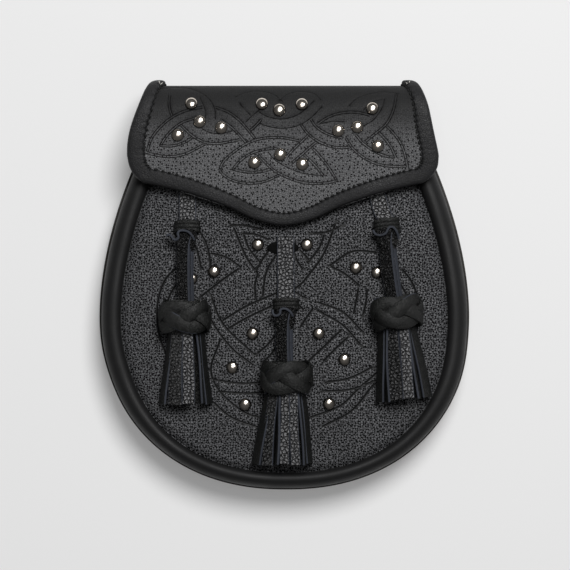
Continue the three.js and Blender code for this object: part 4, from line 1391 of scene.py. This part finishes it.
def layOn(points, place):
    turn = math.radians(place["lean"])
    laid = []
    for x, y, z in points:
        px = place["x"] + x * math.cos(turn) - y * math.sin(turn)
        py = place["eye"] + x * math.sin(turn) + y * math.cos(turn)
        laid.append((px, py, z + frontLevel(px, py)))
    return laid


# Steps for stripForm along rows of place across, place up, level and width, turned about the way ahead
def pathSteps(path, turnAt=lambda share: 0.0):
    middles = [np.array(p[:3], float) for p in path]
    wide = np.array((1.0, 0.0, 0.0))
    steps = []
    for i, middle in enumerate(middles):
        ahead = heading(middles, i)
        thick = np.cross(wide, ahead)
        if thick[2] < 0 and abs(ahead[1]) > abs(ahead[2]):
            thick = -thick
        turn = math.radians(turnAt(i / (len(path) - 1)))
        cos, sin = math.cos(turn), math.sin(turn)
        steps.append((middle, wide * cos + thick * sin, thick * cos - wide * sin, path[i][3]))
    return steps


def addStrip(form, steps, thickness, rounding, crown, face, cut=cutFace):
    points, faces, slots, flat = stripForm(steps, thickness, rounding, crown)
    form.add(points, faces, [cut if edge else face for edge in slots], flat)


def finishHanger(form, kind, side, place, materials, slot):
    form.points = layOn(form.points, place)
    form.finish(f"{kind}{side.title()}", materials, slot, [f"{kind}_{side}"], True)


def makeStrap(side, place):
    width, shift = hanger["strapWidth"], place["strapShift"]
    level = pouch["gap"] + hanger["strapThickness"] / 2
    rows = [(0.4, 1.6, place["strapTop"], 0.0), *hanger["strapPath"]]
    path = curveThrough([(x + shift * bend, y, level + rise, width) for x, bend, y, rise in rows], 30)
    form = Gather()
    addStrip(form, pathSteps(path), hanger["strapThickness"], 0.4, 0.12, grainFace)
    # the collar is a few turns of a narrow lace round the strap's end
    inward, along, up = hanger["collarLace"]
    for turn in range(place["collarTurns"]):
        middle = hanger["collarTop"] - turn * hanger["collarLength"] / 3
        rings = []
        for angle in turns(40):
            across, high = hanger["collarWidth"] / 2 * math.cos(angle), hanger["collarHeight"] * math.sin(angle)
            ring = []
            for t in turns(10):
                x = hanger["collarShift"] + across * (1 + inward * math.cos(t))
                y = middle + along * math.sin(t) + hanger["collarBend"] * math.sin(angle)
                ring.append((x, y, hanger["collarLevel"] + high * (1 + up * math.cos(t))))
            rings.append(ring)
        form.add(*sweep(rings, closed=True), laceFace)
    finishHanger(form, "strap", side, place, [strapLeather, cutEdge, laceLeather], "pebbled_leather")


def makeThong(side, place):
    form = Gather()
    knotTop = place["knot"] - place["eye"] + hanger["knotLength"] / 2
    width, turn, gap = hanger["thongWidth"], hanger["thongTurn"], hanger["layerGap"]
    # two layers of the thong, folded together and turned so that their cut right edges show
    lean = math.radians(turn)
    rows = [(1.6, 1.5, -1.0, 0.85), (0.7, -2.5, 0.0, 1.0), (0.1, -8.0, 0.3, 1.0),
            (0.0, mix(-9, knotTop, 0.6), 0.4, 1.0), (0.5, knotTop - 1.5, 0.2, 0.92)]
    for layer in (0, 1):
        shift = hanger["thongShift"] + layer * gap * math.sin(lean)
        level = hanger["thongLevel"] - layer * gap * math.cos(lean)
        path = curveThrough([(shift + x, y, level + rise, width * share) for x, y, rise, share in rows], 34)
        steps = pathSteps(path, lambda share: turn * ease(share, -0.1, 0.22))
        addStrip(form, steps, hanger["thongThickness"], 0.3, 0.0, shadedFace)
    # the throat of the loop under the curl is smooth, in the thong's darker leather as painted shade
    throat = hanger["throatWidth"]
    path = curveThrough([(x, y, z, throat * share) for x, y, z, share in hanger["throatPath"]], 16)
    addStrip(form, pathSteps(path), hanger["throatThickness"], 0.8, 0.9, shadedFace, shadedFace)
    # the cut end of the slit curls up in an S across the thong
    curl = curveThrough(place["curl"], hanger["curlSteps"])
    deep, half = hanger["curlWidth"], hanger["curlThickness"] / 2
    section = ((-1, -deep), (-1, -0.25), (-0.6, 0.0), (0.6, 0.0), (1, -0.25), (1, -deep))
    rings = []
    for i, (x, y) in enumerate(curl):
        ahead = heading(curl, i) * half
        share = i / (len(curl) - 1)
        top = hanger["curlLevel"] + hanger["curlRise"] * math.sin(share * math.pi)
        top -= hanger["curlDrop"] * ease(share, 0.8, 1.0)
        rings.append([(x - ahead[1] * a, y + ahead[0] * a, top + level) for a, level in section])
    points, faces = sweep(rings)
    slots = [cutFace if i % len(section) in (1, 2, 3) else laceFace for i in range(len(faces) - 2)]
    form.add(points, faces, slots + [cutFace, cutFace])
    materials = [strapLeather, cutEdge, laceLeather, thongShadeLeather]
    finishHanger(form, "thong", side, place, materials, "pebbled_leather")


def knotRadius(along):
    end = hanger["knotEnd"] / hanger["knotWidth"]
    return mix(1.0, end, min(abs(along), 1.1) ** 2.2)


def knotPoint(angle, along, lift, middle):
    across = hanger["knotWidth"] / 2 * knotRadius(along) + lift
    deep = hanger["knotDepth"] / 2 * knotRadius(along) + lift
    x, y, z = middle
    y += along * hanger["knotLength"] / 2
    return np.array((x + across * math.cos(angle), y, z + deep * math.sin(angle)))


# A lace woven three times round the knot in four bights, over and under by turns, on a plain core
def makeKnot(place, form):
    middle = (place["knotShift"], place["knot"] - place["eye"], hanger["knotLevel"])
    core = [mix(-1, 1, i / 14) * hanger["coreShare"] for i in range(15)]
    rings = [[knotPoint(t, along, -hanger["coreDrop"], middle) for t in turns(36)] for along in core]
    form.add(*sweep(rings), laceFace)
    outline, cut = stripOutline(hanger["laceWidth"], hanger["laceThickness"], 0.3, 0.35)

    def laceAt(t, lift):
        return knotPoint(3 * t + place["knotPhase"], hanger["laceReach"] * math.cos(4 * t), lift, middle)

    rings = []
    for t in turns(hanger["laceSteps"]):
        lift = hanger["laceLift"] * math.sin(8 * t) - hanger["laceSink"]
        here = laceAt(t, lift)
        ahead = unit(laceAt(t + 0.01, lift) - here)
        wide = unit(np.cross(unit(laceAt(t, 1.0) - laceAt(t, 0.0)), ahead))
        out = np.cross(ahead, wide)
        rings.append([tuple(here + wide * a + out * (b - hanger["laceCup"] * a * a)) for a, b in outline])
    # the lace's cut edge shows pale in two places
    shown = {i for start, end in place["laceEdges"] for i in range(start, end)}
    slots = [cutFace if edge and i in shown else laceFace for i in range(len(rings)) for edge in cut]
    form.add(*sweep(rings, closed=True), slots)


def makeTassel(side, place):
    form = Gather()
    makeKnot(place, form)
    foot = place["knot"] - place["eye"] - hanger["knotLength"] / 2
    swayWave, lengthWave, liftWave = hanger["stripWaves"]
    for row, (atKnot, atTip, high, low, turn, width, kind) in enumerate(place["strips"]):
        tip = foot - hanger["skirtLength"] - lengthWave * math.sin(row * 1.7)
        path = []
        for i in range(hanger["stripSteps"]):
            share = i / (hanger["stripSteps"] - 1)
            x = mix(atKnot, atTip, share ** hanger["stripSpread"])
            x += swayWave * math.sin(row * 2.1 + share * 5.0)
            z = mix(high, low, share) + liftWave * math.sin(row * 1.3 + share * 4.2)
            path.append((x, mix(foot + hanger["stripTuck"], tip, share), z, width * mix(0.9, 1.0, share)))
        steps = pathSteps(path, lambda share: turn + 3 * math.sin(share * 3 + row))
        addStrip(form, steps, hanger["stripThickness"], 0.3, 0.1, stripFaces[kind])
    materials = [strapLeather, cutEdge, laceLeather, skirtShadeLeather]
    finishHanger(form, "tassel", side, place, materials, "smooth_leather")


for side, place in hanger["places"].items():
    makeStrap(side, place)
    makeThong(side, place)
    makeTassel(side, place)
print("straps, thongs and tassels made")


# Belt loops on the back: bent strips with a stitched square on each tab
loop = {
    "spacing": 80.0,
    "low": 139.2,
    "height": 40.0,
    "width": 22.0,
    "thickness": 2.0,
    "tab": 7.0,
    "ramp": 4.0,
    "tabLevel": 6.0,
    "bridgeLevel": 1.0,
    "stitch": 2.2,
    "boxHalf": 9.0,
    "boxEnds": (1.3, 5.7),
    "threadShares": (0.12, 0.88),
    "threadBulge": 0.28,
    "threadRise": 0.12,
}


# A box of stitches through one tab of a loop
def stitchBox(form, x, tabLow):
    half, (near, far) = loop["boxHalf"], [tabLow + y for y in loop["boxEnds"]]
    level = loop["tabLevel"] - loop["thickness"] / 2 + loop["threadRise"]
    box = [(x - half, near), (x + half, near), (x + half, far), (x - half, far), (x - half, near)]
    for a, b in zip(box, box[1:]):
        count = max(int(math.dist(a, b) / loop["stitch"]), 1)
        for i in range(count):
            start, end = [(i + share) / count for share in loop["threadShares"]]
            middles = []
            for t in np.linspace(start, end, 5):
                bulge = loop["threadBulge"] * math.sin((t - start) / (end - start) * math.pi)
                middles.append((mix(a[0], b[0], t), mix(a[1], b[1], t), level - bulge))
            form.add(*tube(middles, seam["radius"], 6), 2)


def makeLoops():
    tabLevel, bridgeLevel = loop["tabLevel"], loop["bridgeLevel"]
    for name, node, side in (("beltLoopLeft", "belt_loop_left", -1), ("beltLoopRight", "belt_loop_right", 1)):
        x, low, high = side * loop["spacing"] / 2, loop["low"], loop["low"] + loop["height"]
        tab, bend = loop["tab"], loop["tab"] + loop["ramp"]
        levels = [(low, tabLevel), (low + tab, tabLevel), (low + bend, bridgeLevel),
                  (high - bend, bridgeLevel), (high - tab, tabLevel), (high, tabLevel)]
        corners = np.array([(x, y, level) for y, level in levels])
        shares = np.linspace(0, 1, 9)[:-1]
        path = [a * (1 - s) + b * s for a, b in zip(corners, corners[1:]) for s in shares]
        path = np.array([*path, corners[-1]])
        for _ in range(2):
            path[1:-1] = (path[:-2] + 2 * path[1:-1] + path[2:]) / 4
        path[:, 2] = np.maximum(path[:, 2], bridgeLevel)
        form = Gather()
        form.add(*stripForm(pathSteps([(*p, loop["width"]) for p in path]), loop["thickness"], 0.5))
        stitchBox(form, x, low)
        stitchBox(form, x, high - tab)
        form.finish(name, [backLeather, rawEdge, blackThread], "back_leather", [node])


# Seams on the back: one round the rim and one round the flap's tail
seam = {
    "pitch": 3.6,
    "inset": 4.6,
    "tailPitch": 3.2,
    "tailInset": 4.5,
    "tailRise": 3.0,
    "foldClear": 2.0,
    "radius": 0.26,
    "bulge": 0.26,
    "rise": 0.1,
}


def seamStitches(line, pitch, levelAt, form):
    count = int(pathLength(line) / pitch)
    fine = evenPoints(line, count * 5 + 1)
    for i in range(count):
        middles = []
        for k in range(1, 5):
            p = fine[i * 5 + k]
            bulge = seam["bulge"] * math.sin((k - 0.5) / 4 * math.pi)
            middles.append((p[0], p[1], max(levelAt(p) - bulge + seam["rise"], seam["radius"])))
        form.add(*tube(middles, seam["radius"], 6))


def makeBackSeams():
    form = Gather()
    points, inward = rimFrames(500)
    seamStitches(points + inward * seam["inset"], seam["pitch"], lambda p: backLevel(p[1]), form)
    half = flap["foldWidth"] / 2 - seam["tailInset"]
    low = pouch["height"] - flap["tailLength"] + seam["tailRise"]
    high = pouch["height"] - seam["foldClear"]
    tail = [(-half, high), (-half, low), (half, low), (half, high)]
    seamStitches(tail, seam["tailPitch"], lambda p: flap["tailLevel"] - flap["thickness"] / 2, form)
    form.finish("backSeams", [blackThread], "back_leather")


# A near-black patch on both sides of the centre strap is painted shadow over the hollow of the flap's hidden
# fastening.
# Its rings are rows of share of its size and share of its height.
fasteningShadow = {
    "x": -0.7,
    "y": 117.3,
    "acrossRadius": 7.7,
    "upRadius": 3.3,
    "height": 0.22,
    "rings": [(1.0, -0.2), (0.97, 0.5), (0.9, 1.0), (0.6, 1.0), (0.3, 1.0)],
}


def makeFasteningShadow():
    rings = []
    for share, height in fasteningShadow["rings"]:
        ring = []
        for t in turns(40):
            x = fasteningShadow["x"] + fasteningShadow["acrossRadius"] * share * math.cos(t)
            y = fasteningShadow["y"] + fasteningShadow["upRadius"] * share * math.sin(t)
            ring.append((x, y, frontLevel(x, y) + fasteningShadow["height"] * height))
        rings.append(ring)
    addPiece("fasteningShadowPatch", *sweep(rings), [shadowBlack], "smooth_leather")


# Short pale ends of thread where the binding's seam starts and stops, each with its lean across and up
threadEnds = {
    "down": -16.0,
    "inset": 0.6,
    "level": 2.4,
    "length": 1.3,
    "radius": 0.16,
    "leans": [(1.0, 0.7), (-0.4, 1.3)],
}


def makeThreadEnds():
    form = Gather()
    down = threadEnds["down"]
    for side in (-1, 1):
        x = side * (flapHalfWidth(down) - bindingWidth(down) + threadEnds["inset"])
        start = np.array(folded(x, down + 0.5, threadEnds["level"]))
        for dx, dy in threadEnds["leans"]:
            shares = np.linspace(0, threadEnds["length"], 6)
            middles = [start + np.array((-side * dx * t, dy * t * 1.2, 0.3 * math.sin(t * 2))) for t in shares]
            form.add(*tube(middles, threadEnds["radius"], 6))
    form.finish("threadEnds", [paleThread], "smooth_leather")


makeLoops()
makeBackSeams()
makeFasteningShadow()
makeThreadEnds()
print("belt loops, back seams and fastening made")


# Studio: pale floor, soft lights and the camera straight above
studio = {
    "cameraHeight": 2.0,
    "cameraPlace": (0.0003, 0.0010),
    "viewWidth": 0.27731,
    "viewLevel": 0.002,
    "floorSize": 6.0,
    "floor": 0.6,
    "floorGlow": 0.22,
    "world": 0.07,
    "key": {"place": (0.3, 0.74, 1.62), "size": 0.8, "power": 31.0},
    "fill": {"place": (0.05, 0.3, 2.6), "size": 1.2, "power": 6.0},
}


def makeStudio():
    mesh = bpy.data.meshes.new("floor")
    half = studio["floorSize"] / 2
    corners = [(-half, -half, 0), (half, -half, 0), (half, half, 0), (-half, half, 0)]
    mesh.from_pydata(corners, [], [(0, 1, 2, 3)])
    floor = bpy.data.objects.new("floor", mesh)
    bpy.context.scene.collection.objects.link(floor)
    material, tree, shader = newMaterial("paleFloor")
    coordinates = tree.nodes.new("ShaderNodeTexCoord")
    cloud = noise(tree, coordinates.outputs["Object"], 3.0, 2.0)
    pale = studio["floor"]
    tree.links.new(blendColour(tree, cloud, (pale,) * 3, (pale * 1.01,) * 3), shader.inputs["Base Color"])
    shader.inputs["Roughness"].default_value = 0.9
    shader.inputs["Specular IOR Level"].default_value = 0.1
    shader.inputs["Emission Color"].default_value = (1.0, 1.0, 1.0, 1.0)
    shader.inputs["Emission Strength"].default_value = studio["floorGlow"]
    mesh.materials.append(material)
    floor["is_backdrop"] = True
    for name in ("key", "fill"):
        look = studio[name]
        light = bpy.data.lights.new(name, "AREA")
        light.shape = "DISK"
        light.energy, light.size = look["power"], look["size"]
        lamp = bpy.data.objects.new(name, light)
        bpy.context.scene.collection.objects.link(lamp)
        lamp.location = look["place"]
        lamp.rotation_mode = "QUATERNION"
        lamp.rotation_quaternion = (Vector(look["place"]) * -1).to_track_quat("-Z", "Y")
    world = bpy.data.worlds.new("studioWorld")
    bpy.context.scene.world = world
    world.use_nodes = True
    background = next(node for node in world.node_tree.nodes if node.type == "BACKGROUND")
    background.inputs["Color"].default_value = (1.0, 1.0, 1.0, 1.0)
    background.inputs["Strength"].default_value = studio["world"]
    bpy.context.scene.view_settings.view_transform = "Standard"


def makeCamera():
    data = bpy.data.cameras.new("camera")
    camera = bpy.data.objects.new("camera", data)
    bpy.context.scene.collection.objects.link(camera)
    camera.location = (*studio["cameraPlace"], studio["cameraHeight"])
    data.lens = data.sensor_width * (studio["cameraHeight"] - studio["viewLevel"]) / studio["viewWidth"]
    data.clip_start, data.clip_end = 0.1, 20
    bpy.context.scene.camera = camera


makeStudio()
makeCamera()
print("studio made")

triangles = {o.name: sum(len(p.vertices) - 2 for p in o.data.polygons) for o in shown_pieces() if o.type == "MESH"}
print("triangles", sum(triangles.values()), "largest", max(triangles.items(), key=lambda item: item[1]))
